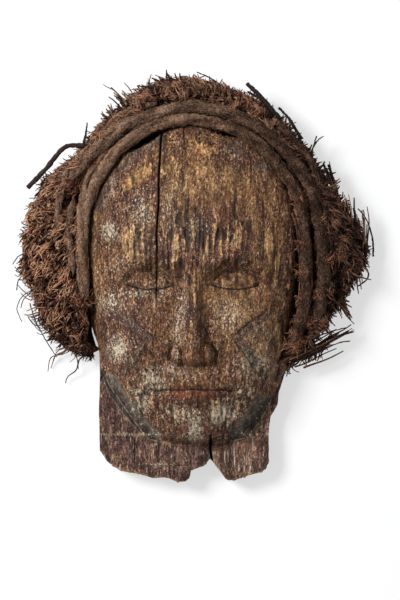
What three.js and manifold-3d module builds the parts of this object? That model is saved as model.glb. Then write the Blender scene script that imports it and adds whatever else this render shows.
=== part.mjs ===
// A small carved wooden mask with a fibre wig, lying face up on its back rim.
// The wood is one hollow piece: an egg-shaped face that stands out of a neck board with a broken edge.
// The wig is a mat of plant fibre round the side of the head. Two twisted cords lie on it round the face.
import * as THREE from "three";
import { mergeVertices } from "three/addons/utils/BufferGeometryUtils.js";
import Module from "manifold-3d";

const wasm = await Module();
wasm.setup();

// Sizes in millimetres. X runs across the face, Y from chin to crown, Z out of the face.
const head = { centreX: -1, halfWidth: 52, crownY: 77, widestY: 22, chinY: -80.5 };
const faceHeights = { side: 19, jaw: 23, middle: 39, roundness: 0.62 };
const hollow = {
  wall: 9, crownWall: 10, chinWall: 20, depth: 30, roundness: 2.8, crowning: 0.6, below: 0.2,
};
const nose = {
  bridgeHalfWidth: 4.6, ridgeHalfWidth: 6.8, bridgeRise: 0.5, tipRise: 10.6, root: 5, sink: 0.4,
  stations: 12, wingsFrom: 0.62, wingsFull: 0.92, wingMiddle: 0.7, wingHalf: 0.3, wingRise: 0.6,
  ridgeByWings: 0.62, tuckBelow: 1.5, tuckWidth: 0.85, tuckRise: 0.6,
};
const lid = { halfWidth: 11, halfHeight: 5.6, rise: 3.4, sink: 0.9, around: 14, over: 8 };
const lips = { bulge: 3.1, sink: 0.8, stations: 12, sides: 8, thinnest: 0.15, notch: 0.4, notchTightness: 7 };
const grid = { columns: 26, rows: 34, boardColumns: 16, hollowSides: 32 };
const board = { middleZ: 14, sideDrop: 3.4, halfWidth: 48, borderY: -78, panelDrop: 1.1 };
const slab = { halfWidth: 60, lowY: -110, highY: 20, thickest: 40 };
const collar = { topZ: 18.6, footZ: 2, fold: 1.2, kneeOffset: 1.6, kneeShare: 0.45, steps: 28 };
const clearance = 0.4;
const bedClearance = 0.7;
// What the wig is cut back by, to clear the wood and the cords.
const room = { eggSides: 90, height: 70, below: 10, cordEnds: 1.2, cordSides: 0.88, cordSteps: 30 };

// The board's outline below the face, from its left shoulder round the broken lower edge to the right one.
const boardOutline = [
  [-40, 12], [-54, 5], [-55, -12], [-52.5, -22], [-49, -32], [-47.9, -38], [-47.8, -52], [-48.4, -64],
  [-47.9, -85.5], [-44, -91.3], [-37.2, -95.9], [-27.6, -97.4], [-21.5, -99.3], [-14.2, -99], [-8.9, -101.3],
  [-4.7, -101], [-2.5, -98.8], [-2.1, -95.5], [4.4, -93.2], [7.5, -89.6], [11.5, -94.3], [15.5, -100],
  [19.5, -100.6], [27, -98], [34, -96.2], [37, -92], [37, -75.5], [38, -68.5], [41.6, -62.5], [42, -57],
  [45.5, -46], [48.5, -39], [50, -30], [52, -15], [52.2, 5], [40, 12],
];

// The outer edge of the sloping collar under the jaw, against the egg angle in degrees that it lies beside.
const collarEdge = [
  [186, -54.6, 2], [195, -54.7, -10], [204, -52, -22.5], [213, -48.6, -32.5], [221, -47.7, -42],
  [228, -43.6, -52], [238, -36.5, -62.5], [248, -29, -73], [255, -24, -79.5], [263, -11, -82.5],
  [270, -1, -83], [279, 13, -82], [290, 27.5, -78.5], [299, 33.5, -69.5], [308, 38.6, -60],
  [316, 42.6, -51], [325, 47.4, -40], [335, 49.8, -29], [345, 51.6, -14], [354, 51.9, 2],
];

// The wig's outer edge, from its left end over the crown to its right end.
const wigEdge = [
  [-53, -38], [-66.5, -33], [-76, -22], [-81, -8], [-86, 6], [-85.5, 24], [-82, 42], [-74, 56],
  [-60, 66.5], [-47, 79.5], [-32, 92.5], [-16, 99.5], [0, 101.6], [15, 98.5], [29, 92], [44, 82],
  [55, 69], [66, 57], [75, 43], [83, 28], [86.5, 12], [80, -4], [70, -18], [63, -30], [53, -40], [43, -47],
];
const wig = {
  fromDegrees: 213, toDegrees: -45, stations: 56, tuck: 3, undersideZ: 0.8, skirtZ: 4.5, edgeZ: 11,
  bedZ: 20.1, crestZ: 23.5, endShrink: 0.5, coarse: 1.3, fine: 0.9,
};

// Each cord runs beside the egg. Its stops are degrees along the egg and the distance outside it.
const cords = {
  inner_cord: {
    stops: [
      [198, 4.6], [182, 3.5], [165, 2.9], [150, 2.5], [130, 3.1], [110, 3.3], [90, 3.1], [65, 2.2],
      [45, 2.2], [20, 3.7], [0, 4.2], [-13, 6.8], [-22, 7.3], [-31, 6],
    ],
    height: 23.5, halfWidth: 2.95, halfHeight: 2.9, lobes: 3, lobeDepth: 0.17, pitch: 22, sides: 8,
    steps: 54, colour: 0x5a4030,
  },
  outer_cord: {
    stops: [
      [156, 14.6], [147, 12.4], [135, 10.4], [120, 10.1], [90, 9.4], [65, 8.7], [45, 9], [25, 10.8],
      [5, 11], [-10, 14], [-18, 14.4], [-24, 13.9],
    ],
    height: 23.4, halfWidth: 2.95, halfHeight: 2.8, lobes: 2, lobeDepth: 0.2, pitch: 19, sides: 8,
    steps: 48, colour: 0x4c3a2a,
  },
};

// Stiff stems caught in the wig: the points that each follows, and its radius.
const stems = [
  { points: [[-55, 67, 14], [-65, 66, 15], [-74, 55.5, 14], [-83.5, 45.5, 12]], radius: 1.1 },
  { points: [[26, 98.5, 15], [33.5, 91, 16], [42.5, 80, 14]], radius: 1.3 },
  { points: [[40, 88.5, 12], [47, 80, 13], [53, 69, 12]], radius: 0.8 },
  { points: [[68, 63, 12], [71, 50, 13], [72, 40, 12]], radius: 1.0 },
];

// Splits in the wood, then the incised lines on the board's border and on each cheek.
const splits = [
  { points: [[-15.6, 80], [-15.8, 60], [-17, 40], [-18.3, 18], [-17.6, -10]], width: 1.1, depth: 5 },
  { points: [[-5.2, 80], [-5.4, 74], [-4.8, 69]], width: 1.2, depth: 3 },
  { points: [[8, -84], [8.9, -92]], width: 1.2, depth: 6, onBoard: true },
];
const boardMarks = [[[-30, -80], [-30, -91]], [[-18, -81.5], [-18, -92]], [[-28.5, -93.2], [-4, -93.2]]];
const cheekMarks = [[[37, -15], [28, -21], [19.5, -28.5]], [[19.5, -28.5], [26, -38], [33.5, -48]]];
const mark = { width: 1.5, depth: 0.9 };
const slit = { width: 1.6, height: 0.6 };
const groove = { stepLength: 5, above: 4, narrowest: 0.25, endTaper: 0.4 };

const radians = THREE.MathUtils.degToRad;
const { lerp, smoothstep } = THREE.MathUtils;

// The face is laid out on the usual canon: eyes halfway down the head, nose base halfway from eyes to chin,
// mouth a third below it, and the head five eyes wide.
const eyeLineY = (head.crownY + head.chinY) / 2;
const noseBaseY = (eyeLineY + head.chinY) / 2;
const mouthY = noseBaseY - (noseBaseY - head.chinY) / 3;
const eyeWidth = (2 * head.halfWidth) / 5;
const browY = eyeLineY + eyeWidth / 2;
const noseHalfWidth = eyeWidth / 2;
const mouthHalfWidth = eyeWidth * 0.88;

// The face's soft forms: how far each rises, its middle and its spread. Paired ones are mirrored.
const faceForms = {
  brow: { rise: 1.4, middle: [eyeWidth * 0.95, browY + 3], spread: [20, 7], paired: true },
  cheek: { rise: 2.4, middle: [eyeWidth * 1.25, noseBaseY + 13], spread: [19, 21], paired: true },
  socket: { rise: -3.2, middle: [eyeWidth, eyeLineY + 1.5], spread: [16, 10.5], paired: true },
  eyeCorner: { rise: -1.6, middle: [eyeWidth * 0.5, eyeLineY], spread: [8, 9], paired: true },
  muzzle: { rise: 2, middle: [0, mouthY], spread: [30, 22] },
  chin: { rise: 2.6, middle: [0, head.chinY + 12], spread: [16, 12] },
};
const jawLift = { from: 20, to: 70 };

// Each closed eye's line across its lid: eye widths out from the middle, and the drop below the eye line.
const eyeSlit = [[0.5, -1], [1, -2.4], [1.5, -0.8]];
const lipForms = [
  { middleY: mouthY + 2.4, halfWidth: mouthHalfWidth, halfHeight: 2.6, dip: -1 },
  { middleY: mouthY - 2.8, halfWidth: mouthHalfWidth * 0.9, halfHeight: 3, dip: 1.6 },
];

// The egg's half-height on the side of the widest line where y lies.
function eggReach(y) {
  return y > 0 ? head.crownY - head.widestY : head.widestY - head.chinY;
}

// A point beside the egg at that angle, offset outwards along the egg's normal.
function besideEgg(degrees, offset = 0) {
  const [c, s] = [Math.cos(radians(degrees)), Math.sin(radians(degrees))];
  const reach = eggReach(s);
  const normal = new THREE.Vector2(c / head.halfWidth, s / reach).normalize();
  return [
    head.centreX + head.halfWidth * c + normal.x * offset,
    head.widestY + reach * s + normal.y * offset,
  ];
}

// A soft round bump: 1 in the middle, 0 at its edge.
function bump(x, y, [middleX, middleY], [spreadX, spreadY]) {
  const q = ((x - middleX) / spreadX) ** 2 + ((y - middleY) / spreadY) ** 2;
  return q < 1 ? (1 - q) ** 2 : 0;
}

function faceZ(worldX, y) {
  const x = worldX - head.centreX;
  const side = Math.abs(x);
  const out = Math.min(1, (x / head.halfWidth) ** 2 + ((y - head.widestY) / eggReach(y - head.widestY)) ** 2);
  const edge = lerp(faceHeights.side, faceHeights.jaw, smoothstep(-y, jawLift.from, jawLift.to));
  const dome = edge + (faceHeights.middle - edge) * (1 - out) ** faceHeights.roundness;
  return Object.values(faceForms).reduce(
    (z, { rise, middle, spread, paired }) => z + rise * bump(paired ? side : x, y, middle, spread),
    dome,
  );
}

function boardZ(x) {
  return board.middleZ - board.sideDrop * (x / board.halfWidth) ** 2;
}

// A closed solid from a three.js geometry whose seams are merged.
function solidOf(geometry) {
  for (const name of ["normal", "uv"]) geometry.deleteAttribute(name);
  const merged = mergeVertices(geometry, 1e-4);
  return new wasm.Manifold(
    new wasm.Mesh({
      numProp: 3,
      vertProperties: new Float32Array(merged.attributes.position.array),
      triVerts: new Uint32Array(merged.index.array),
    }),
  );
}

// A block whose top is a grid at height(x, y) and whose plan is shaped by place(u, v), both from -1 to 1.
function blockUnder(columns, rows, place, height) {
  const geometry = new THREE.BoxGeometry(2, 2, 2, columns, rows, 1);
  const corners = geometry.attributes.position;
  for (let i = 0; i < corners.count; i++) {
    const [x, y] = place(corners.getX(i), corners.getY(i));
    corners.setXYZ(i, x, y, corners.getZ(i) > 0 ? height(x, y) : 0);
  }
  return solidOf(geometry);
}

function far(p, q) {
  return Math.hypot(p[0] - q[0], p[1] - q[1], p[2] - q[2]);
}

// A solid skinned over a row of rings with the same number of points, closed by a fan at each end.
function skinOver(rings) {
  const size = rings[0].length;
  const positions = rings.flat();
  const faces = [];
  for (let k = 0; k + 1 < rings.length; k++) {
    for (let i = 0; i < size; i++) {
      const [a, b] = [k * size + i, k * size + ((i + 1) % size)];
      const [c, d] = [a + size, b + size];
      const split = far(positions[a], positions[d]) < far(positions[b], positions[c]);
      faces.push(...(split ? [a, b, d, a, d, c] : [a, b, c, b, d, c]));
    }
  }
  for (const start of [0, (rings.length - 1) * size]) {
    const ring = positions.slice(start, start + size);
    const middle = positions.push([0, 1, 2].map((n) => ring.reduce((sum, p) => sum + p[n], 0) / size)) - 1;
    for (let i = 0; i < size; i++) {
      const [a, b] = [start + i, start + ((i + 1) % size)];
      faces.push(...(start === 0 ? [b, a, middle] : [a, b, middle]));
    }
  }
  const geometry = new THREE.BufferGeometry();
  geometry.setAttribute("position", new THREE.Float32BufferAttribute(positions.flat(), 3));
  geometry.setIndex(faces);
  return solidOf(geometry);
}

// A V-shaped cut along a line on the face or the board.
function grooveAlong(points, width, depth, height = faceZ) {
  const line = new THREE.SplineCurve(points.map(([x, y]) => new THREE.Vector2(x, y)));
  const steps = Math.max(2, Math.round(line.getLength() / groove.stepLength));
  const rings = line.getSpacedPoints(steps).map((p, i) => {
    const across = line.getTangentAt(i / steps).rotateAround(new THREE.Vector2(), Math.PI / 2);
    const taper = Math.abs(Math.sin((Math.PI * i) / steps)) ** groove.endTaper;
    const half = (width / 2) * Math.max(groove.narrowest, taper);
    const z = height(p.x, p.y);
    return [
      [p.x + across.x * half, p.y + across.y * half, z + groove.above],
      [p.x - across.x * half, p.y - across.y * half, z + groove.above],
      [p.x, p.y, z - depth],
    ];
  });
  return skinOver(rings);
}

// Stretches a square grid over the egg, so that its edge lies on the egg's edge.
function overEgg(u, v) {
  const across = u * Math.sqrt(1 - (v * v) / 2);
  const along = v * Math.sqrt(1 - (u * u) / 2);
  return [head.centreX + head.halfWidth * across, head.widestY + eggReach(along) * along];
}

function eyelid(side) {
  const x = head.centreX + side * eyeWidth;
  const ball = new THREE.SphereGeometry(1, lid.around, lid.over).rotateX(Math.PI / 2);
  ball.scale(lid.halfWidth, lid.halfHeight, lid.rise);
  return solidOf(ball.translate(x, eyeLineY, faceZ(x, eyeLineY) - lid.sink));
}

// A lip is a tapering roll that follows the muzzle, with a small dip in the middle.
function lip({ middleY, halfWidth, halfHeight, dip }) {
  const rings = Array.from({ length: lips.stations + 1 }, (_, k) => {
    const t = lerp(-1, 1, k / lips.stations);
    const x = head.centreX + t * halfWidth;
    const notch = lips.notch * Math.exp(-((t * lips.notchTightness) ** 2));
    const y = middleY + dip * (t * t - notch);
    const size = Math.max(lips.thinnest, Math.sqrt(1 - t * t));
    return Array.from({ length: lips.sides }, (_, i) => {
      const angle = (2 * Math.PI * i) / lips.sides;
      const rise = Math.sin(angle) * lips.bulge * size - lips.sink;
      return [x, y + Math.cos(angle) * halfHeight * size, faceZ(x, y) + rise];
    });
  });
  return skinOver(rings);
}

// One section across the nose: the ridge in the middle and, towards the base, a wing on each side.
function noseSection(y, halfWidth, rise, flare) {
  const top = [-1, -0.86, -0.7, -0.5, -0.27, 0, 0.27, 0.5, 0.7, 0.86, 1].map((t) => {
    const ridge = Math.max(0, 1 - (t / lerp(1, nose.ridgeByWings, flare)) ** 2) ** 0.75;
    const wing = Math.max(0, 1 - ((Math.abs(t) - nose.wingMiddle) / nose.wingHalf) ** 2) ** 0.5;
    const x = head.centreX + t * halfWidth;
    return [x, y, faceZ(x, y) + rise * Math.max(ridge, nose.wingRise * flare * wing) - nose.sink];
  });
  const root = [0.8, -0.8].map((t) => [head.centreX + t * halfWidth, y, faceZ(head.centreX, y) - nose.root]);
  return [...top, ...root].reverse();
}

function noseSolid() {
  const rings = Array.from({ length: nose.stations + 1 }, (_, k) => {
    const down = k / nose.stations;
    const flare = smoothstep(down, nose.wingsFrom, nose.wingsFull);
    const halfWidth = lerp(lerp(nose.bridgeHalfWidth, nose.ridgeHalfWidth, down), noseHalfWidth, flare);
    const rise = lerp(nose.bridgeRise, nose.tipRise, down ** 0.9);
    return noseSection(lerp(browY + 2, noseBaseY, down), halfWidth, rise, flare);
  });
  const tuckedHalf = noseHalfWidth * nose.tuckWidth;
  rings.push(noseSection(noseBaseY - nose.tuckBelow, tuckedHalf, nose.tipRise * nose.tuckRise, 1));
  return skinOver(rings);
}

function faceBlock() {
  const parts = [...lipForms.map(lip), noseSolid(), eyelid(-1), eyelid(1)];
  return parts.reduce((solid, part) => solid.add(part), blockUnder(grid.columns, grid.rows, overEgg, faceZ));
}

// The neck board: a bowed slab with a raised lower border and the jaw's collar, cut to the outline.
function neckBoard() {
  const slabUpTo = (highY, drop) =>
    blockUnder(
      grid.boardColumns, 1,
      (u, v) => [u * slab.halfWidth, lerp(slab.lowY, highY, (v + 1) / 2)],
      (x) => boardZ(x) - drop,
    );
  const shape = new THREE.Shape(boardOutline.map(([x, y]) => new THREE.Vector2(x, y)));
  const outline = solidOf(new THREE.ExtrudeGeometry(shape, { depth: slab.thickest, bevelEnabled: false }));
  const border = slabUpTo(board.borderY, 0);
  return slabUpTo(slab.highY, board.panelDrop).add(border).add(jawCollar()).intersect(outline);
}

// The collar slopes from the jaw's foot down to the board.
function jawCollar() {
  const edge = new THREE.CatmullRomCurve3(collarEdge.map((stop) => new THREE.Vector3(...stop)));
  return skinOver(
    edge.getPoints(collar.steps).map(({ x: degrees, y: x, z: y }) => {
      const [innerX, innerY] = besideEgg(degrees, -collar.fold);
      const [kneeX, kneeY] = besideEgg(degrees, collar.kneeOffset);
      const outerZ = boardZ(x) - board.panelDrop / 2;
      return [
        [innerX, innerY, collar.topZ], [kneeX, kneeY, lerp(outerZ, collar.topZ, collar.kneeShare)],
        [x, y, outerZ], [x, y, collar.footZ], [innerX, innerY, collar.footZ],
      ];
    }),
  );
}

function hollowInside() {
  const profile = [[0, 1]];
  for (const r of [0.2, 0.4, 0.56, 0.7, 0.81, 0.9, 0.96, 1]) {
    profile.push([r, (1 - r ** hollow.roundness) ** hollow.crowning]);
  }
  profile.push([1, -hollow.below], [0, -hollow.below]);
  const points = profile.map(([r, z]) => new THREE.Vector2(r, z));
  const geometry = new THREE.LatheGeometry(points, grid.hollowSides);
  const corners = geometry.attributes.position;
  const upper = head.crownY - head.widestY - hollow.crownWall;
  const lower = head.widestY - head.chinY - hollow.chinWall;
  for (let i = 0; i < corners.count; i++) {
    const along = -corners.getZ(i);
    corners.setXYZ(
      i,
      head.centreX - corners.getX(i) * (head.halfWidth - hollow.wall),
      head.widestY + along * (along > 0 ? upper : lower),
      corners.getY(i) * hollow.depth,
    );
  }
  return solidOf(geometry);
}

// Everything cut as a line: splits in the wood, the eyes' slits, the parting of the lips, and the marks.
function carvedLines() {
  const heightAt = (split) => (split.onBoard ? boardZ : faceZ);
  const mouthLine = [-1, 0, 1].map((t) => [head.centreX + t * mouthHalfWidth, mouthY - 0.7 * t * t]);
  const cuts = [
    ...splits.map((split) => grooveAlong(split.points, split.width, split.depth, heightAt(split))),
    ...boardMarks.map((points) => grooveAlong(points, mark.width, mark.depth, boardZ)),
    grooveAlong(mouthLine, slit.width, -slit.height),
  ];
  for (const side of [-1, 1]) {
    const mirrored = (points) => points.map(([x, y]) => [head.centreX + side * x, y]);
    const eye = eyeSlit.map(([widths, drop]) => [widths * eyeWidth, eyeLineY + drop]);
    cuts.push(grooveAlong(mirrored(eye), slit.width, -slit.height));
    for (const points of cheekMarks) cuts.push(grooveAlong(mirrored(points), mark.width, mark.depth));
  }
  return cuts;
}

function woodenMask() {
  let solid = faceBlock().add(neckBoard()).subtract(hollowInside());
  for (const cut of carvedLines()) solid = solid.subtract(cut);
  return solid;
}

// The egg and the board together, a little larger, to keep the wig clear of the wood.
function roomForWood() {
  const grow = (points) =>
    points.map(([x, y], i) => {
      const [before, after] = [points.at(i - 1), points[(i + 1) % points.length]];
      const along = new THREE.Vector2(after[0] - before[0], after[1] - before[1]).normalize();
      return new THREE.Vector2(x - along.y * clearance, y + along.x * clearance);
    });
  const egg = Array.from({ length: room.eggSides }, (_, i) => besideEgg((-360 * i) / room.eggSides));
  return [egg, boardOutline.toReversed()].map((points) => {
    const shape = new THREE.Shape(grow(points));
    const prism = new THREE.ExtrudeGeometry(shape, { depth: room.height, bevelEnabled: false });
    return solidOf(prism.translate(0, 0, -room.below));
  });
}

// Slow waves that make the fibre mat lumpy, the same on every run.
function lumps(station, place) {
  const coarse = wig.coarse * Math.sin(station * 1.31 + place * 2.1);
  return coarse + wig.fine * Math.sin(station * 0.57 - place * 3.3 + 1);
}

// How far out the wig lies flat under the cords, at that angle.
function bedReach(degrees) {
  let reach = 0;
  for (const { stops, halfWidth } of Object.values(cords)) {
    const next = stops.findIndex(([stop]) => stop <= degrees);
    if (next < 0 || degrees > stops[0][0] + 3) continue;
    const [[from, a], [to, b]] = [stops[Math.max(0, next - 1)], stops[next]];
    const share = from === to ? 0 : (degrees - from) / (to - from);
    reach = Math.max(reach, lerp(a, b, share) + halfWidth + bedClearance);
  }
  return reach;
}

function fibreWig() {
  const edge = new THREE.SplineCurve(wigEdge.map(([x, y]) => new THREE.Vector2(x, y)));
  return Array.from({ length: wig.stations + 1 }, (_, k) => {
    const share = k / wig.stations;
    const degrees = lerp(wig.fromDegrees, wig.toDegrees, share);
    const [x0, y0] = besideEgg(degrees, -wig.tuck);
    const outer = edge.getPoint(share);
    const out = new THREE.Vector2(outer.x - x0, outer.y - y0);
    const width = out.length();
    out.normalize();
    const height = lerp(wig.endShrink, 1, Math.min(1, Math.min(share, 1 - share) * 12));
    const bed = Math.min(bedReach(degrees) + wig.tuck, width - 2);
    const section = [
      [0, wig.undersideZ], [width * 0.5, wig.undersideZ], [width * 0.85, wig.undersideZ + 1.5],
      [width - 0.6, wig.skirtZ], [width + 0.5 * lumps(k, 0), wig.edgeZ],
      [lerp(bed, width, 0.72), wig.crestZ - 3 + lumps(k, 1)],
      [lerp(bed, width, 0.3), wig.crestZ + 0.6 * lumps(k, 2)],
      [bed, wig.bedZ], [0, wig.bedZ],
    ];
    return section.map(([d, z]) => [x0 + out.x * d, y0 + out.y * d, z * height]);
  });
}

function stemSolid({ points, radius }) {
  const path = new THREE.CatmullRomCurve3(points.map((p) => new THREE.Vector3(...p)));
  const section = new THREE.Shape(
    Array.from({ length: 6 }, (_, i) => {
      const angle = radians(60 * i);
      return new THREE.Vector2(radius * Math.cos(angle), radius * Math.sin(angle));
    }),
  );
  return solidOf(new THREE.ExtrudeGeometry(section, { steps: 4, extrudePath: path, bevelEnabled: false }));
}

function wigSolid() {
  let solid = skinOver(fibreWig());
  for (const stem of stems) solid = solid.add(stemSolid(stem));
  for (const prism of roomForWood()) solid = solid.subtract(prism);
  for (const cord of Object.values(cords)) solid = solid.subtract(cordSolid(roomForCord(cord)));
  return solid;
}

// The same cord, plain, a little thicker and longer.
function roomForCord(cord) {
  const stops = cord.stops.map(([degrees, offset], i) => {
    const longer = i === 0 ? room.cordEnds : i === cord.stops.length - 1 ? -room.cordEnds : 0;
    return [degrees + longer, offset];
  });
  const [halfWidth, halfHeight] = [cord.halfWidth + room.cordSides, cord.halfHeight + clearance];
  return { ...cord, stops, halfWidth, halfHeight, lobeDepth: 0, steps: room.cordSteps };
}

// A cord with twisted strands: its section turns as it goes round the head.
function cordSolid(cord) {
  const path = new THREE.CatmullRomCurve3(
    cord.stops.map(([degrees, offset]) => new THREE.Vector3(...besideEgg(degrees, offset), cord.height)),
  );
  const length = path.getLength();
  const up = new THREE.Vector3(0, 0, 1);
  const rings = path.getSpacedPoints(cord.steps).map((p, k) => {
    const across = path.getTangentAt(k / cord.steps).cross(up).normalize();
    const turn = (2 * Math.PI * length * k) / cord.steps / cord.pitch;
    const taper = k === 0 || k === cord.steps ? 0.6 : 1;
    return Array.from({ length: cord.sides }, (_, i) => {
      const angle = (-2 * Math.PI * i) / cord.sides;
      const dent = 0.5 - 0.5 * Math.cos(cord.lobes * angle - turn);
      const lobe = taper * (1 - cord.lobeDepth * dent);
      const side = Math.cos(angle) * cord.halfWidth * lobe;
      return [p.x + across.x * side, p.y + across.y * side, p.z + Math.sin(angle) * cord.halfHeight * lobe];
    });
  });
  return skinOver(rings);
}

function meshOf(name, solid, material) {
  const { vertProperties, triVerts } = solid.getMesh();
  const geometry = new THREE.BufferGeometry();
  geometry.setAttribute("position", new THREE.BufferAttribute(new Float32Array(vertProperties), 3));
  geometry.setIndex(new THREE.BufferAttribute(new Uint32Array(triVerts), 1));
  geometry.computeVertexNormals();
  const mesh = new THREE.Mesh(geometry, material);
  mesh.name = name;
  return mesh;
}

const finish = (color, roughness) => new THREE.MeshStandardMaterial({ color, roughness, metalness: 0 });

const part = new THREE.Group();
part.add(meshOf("wooden_mask", woodenMask(), finish(0x70513a, 0.75)));
part.add(meshOf("fibre_wig", wigSolid(), finish(0x4f2f20, 0.95)));
for (const [name, cord] of Object.entries(cords)) {
  part.add(meshOf(name, cordSolid(cord), finish(cord.colour, 0.9)));
}

// The origin is the middle of the part's box, on the surface that it lies on.
const box = new THREE.Box3().setFromObject(part);
const middle = box.getCenter(new THREE.Vector3());
part.position.set(-middle.x, -middle.y, -box.min.z);

export default part;
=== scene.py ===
import math

import bmesh
import bpy
import numpy as np
from mathutils import Matrix, Vector, noise


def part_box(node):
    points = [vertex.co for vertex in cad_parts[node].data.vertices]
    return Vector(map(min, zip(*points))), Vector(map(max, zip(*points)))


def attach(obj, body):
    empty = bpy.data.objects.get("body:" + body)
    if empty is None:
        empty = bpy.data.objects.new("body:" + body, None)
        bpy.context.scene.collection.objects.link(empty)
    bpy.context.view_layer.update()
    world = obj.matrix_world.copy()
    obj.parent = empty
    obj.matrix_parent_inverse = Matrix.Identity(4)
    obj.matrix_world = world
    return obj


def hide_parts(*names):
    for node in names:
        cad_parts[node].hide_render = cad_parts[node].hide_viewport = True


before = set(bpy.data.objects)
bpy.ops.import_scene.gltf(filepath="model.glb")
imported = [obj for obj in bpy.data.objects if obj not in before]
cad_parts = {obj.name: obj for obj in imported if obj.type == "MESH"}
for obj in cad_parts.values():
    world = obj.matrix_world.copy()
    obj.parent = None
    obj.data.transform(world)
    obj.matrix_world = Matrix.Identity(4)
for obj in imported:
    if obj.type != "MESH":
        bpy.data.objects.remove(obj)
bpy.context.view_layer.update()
mm = 0.001
print("frame loaded:", sorted(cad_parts))

# The mask is set out in millimetres, X across the face, Y from chin to crown and Z out of the face.
# The wood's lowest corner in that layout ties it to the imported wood.
head = {"centreX": -1, "halfWidth": 52, "crownY": 77, "widestY": 22, "chinY": -80.5, "woodLow": (-55, -101.3)}
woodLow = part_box("wooden_mask")[0]
shift = np.array([woodLow.x - head["woodLow"][0] * mm, woodLow.y - head["woodLow"][1] * mm, 0])

# The face follows the usual canon: eyes halfway down the head, which is five eyes wide.
eyeLineY = (head["crownY"] + head["chinY"]) / 2
noseBaseY = (eyeLineY + head["chinY"]) / 2
mouthY = noseBaseY - (noseBaseY - head["chinY"]) / 3
eyeWidth = 2 * head["halfWidth"] / 5
browY = eyeLineY + eyeWidth / 2


# Small helpers for shapes

def mix(low, high, share):
    return low + (high - low) * share


def portion(value, low, high):
    return np.clip((value - low) / (high - low), 0, 1)


def smooth(value, low, high):
    share = portion(value, low, high)
    return share * share * (3 - 2 * share)


def between(value, low, high, soft):
    return smooth(value, low - soft, low) * (1 - smooth(value, high, high + soft))


def bump(x, y, middle, radii):
    q = ((x - middle[0]) / radii[0]) ** 2 + ((y - middle[1]) / radii[1]) ** 2
    return np.maximum(0, 1 - q) ** 2


def hill(distance, width, power=2):
    # 1 on a line, and next to nothing past its width.
    return np.exp(-((distance / width) ** power))


def chosen(mask, yes, no):
    # Takes each coordinate from the first place where the mask holds, and else from the second.
    return [np.where(mask, here, there) for here, there in zip(yes, no)]


def softMax(first, second, softness):
    return (first + second + np.sqrt((first - second) ** 2 + softness ** 2)) / 2


def noiseAt(points, scale, seed=0):
    scaled = np.asarray(points, float) * np.asarray(scale, float) + seed * 17.31
    flat = scaled.reshape(-1, 3).tolist()
    return np.array([noise.noise(place) for place in flat]).reshape(scaled.shape[:-1])


def alongSpline(points, share):
    points = np.asarray(points, float)
    place = np.clip(share, 0, 1) * (len(points) - 1)
    first = np.minimum(place.astype(int), len(points) - 2)
    part = (place - first)[..., None]
    before, start = points[np.maximum(first - 1, 0)], points[first]
    end, after = points[first + 1], points[np.minimum(first + 2, len(points) - 1)]
    leave, arrive = (end - before) / 2, (after - start) / 2
    cubic = (2 * start - 2 * end + leave + arrive) * part ** 3
    return cubic + (3 * end - 3 * start - 2 * leave - arrive) * part ** 2 + leave * part + start


def lengthAlong(line):
    return np.concatenate([[0], np.cumsum(np.linalg.norm(np.diff(line, axis=0), axis=1))])


def pointsAt(place, steps, line):
    return np.stack([np.interp(place, steps, column) for column in line.T], axis=-1)


def evenLine(points, count):
    fine = alongSpline(points, np.linspace(0, 1, 12 * len(points)))
    reach = lengthAlong(fine)
    return pointsAt(np.linspace(0, reach[-1], count), reach, fine)


def besideLine(x, y, points):
    # The distance to a line, signed by the side it lies on, and how far past the line's ends a point lies.
    away, side, past = np.full(len(x), 1e9), np.ones(len(x)), np.zeros(len(x))
    for number, ((ax, ay), (bx, by)) in enumerate(zip(points, points[1:])):
        alongX, alongY = bx - ax, by - ay
        length = math.hypot(alongX, alongY)
        share = ((x - ax) * alongX + (y - ay) * alongY) / length ** 2
        held = np.clip(share, 0, 1)
        here = np.hypot(x - ax - held * alongX, y - ay - held * alongY)
        closer = here < away
        over = np.maximum(-share if number == 0 else 0, share - 1 if number == len(points) - 2 else 0) * length
        away = np.where(closer, here, away)
        side = np.where(closer, np.where(alongX * (y - ay) > alongY * (x - ax), 1, -1), side)
        past = np.where(closer, np.maximum(over, 0), past)
    return away, side, past


def awayFromLine(x, y, points):
    return besideLine(x, y, points)[0]


def eggReach(side):
    return np.where(side > 0, head["crownY"] - head["widestY"], head["widestY"] - head["chinY"])


def besideEgg(degrees, offset=0):
    # The point at an angle round the face's egg, a little outside it.
    angle = np.radians(degrees)
    c, s = np.cos(angle), np.sin(angle)
    reach = eggReach(s)
    length = np.hypot(c / head["halfWidth"], s / reach)
    x = head["centreX"] + head["halfWidth"] * c + c / head["halfWidth"] / length * offset
    y = head["widestY"] + reach * s + s / reach / length * offset
    return x, y


def readPoints(mesh):
    values = np.empty(len(mesh.vertices) * 3)
    mesh.vertices.foreach_get("co", values)
    return values.reshape(-1, 3)


def placePoints(mesh, points):
    placed = (points * mm + shift).astype(np.float32)
    mesh.vertices.foreach_set("co", placed.ravel())
    mesh.update()


def paintLayer(mesh, name, values):
    layer = mesh.attributes.new(name, "FLOAT", "POINT")
    layer.data.foreach_set("value", np.asarray(values, np.float32).ravel())


def meshFrom(bm, name):
    mesh = bpy.data.meshes.new(name)
    bm.to_mesh(mesh)
    bm.free()
    return mesh


def extrudeRings(bm, edges, count):
    # Each ring lies one above the last, so a point's height is the number of its ring.
    for _ in range(count):
        made = bmesh.ops.extrude_edge_only(bm, edges=edges)["geom"]
        edges = [part for part in made if isinstance(part, bmesh.types.BMEdge)]
        newVerts = [part for part in made if isinstance(part, bmesh.types.BMVert)]
        bmesh.ops.translate(bm, vec=(0, 0, 1), verts=newVerts)
    return edges


def joined(name, meshes):
    bm = bmesh.new()
    for mesh in meshes:
        bm.from_mesh(mesh)
        bpy.data.meshes.remove(mesh)
    return meshFrom(bm, name)


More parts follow.
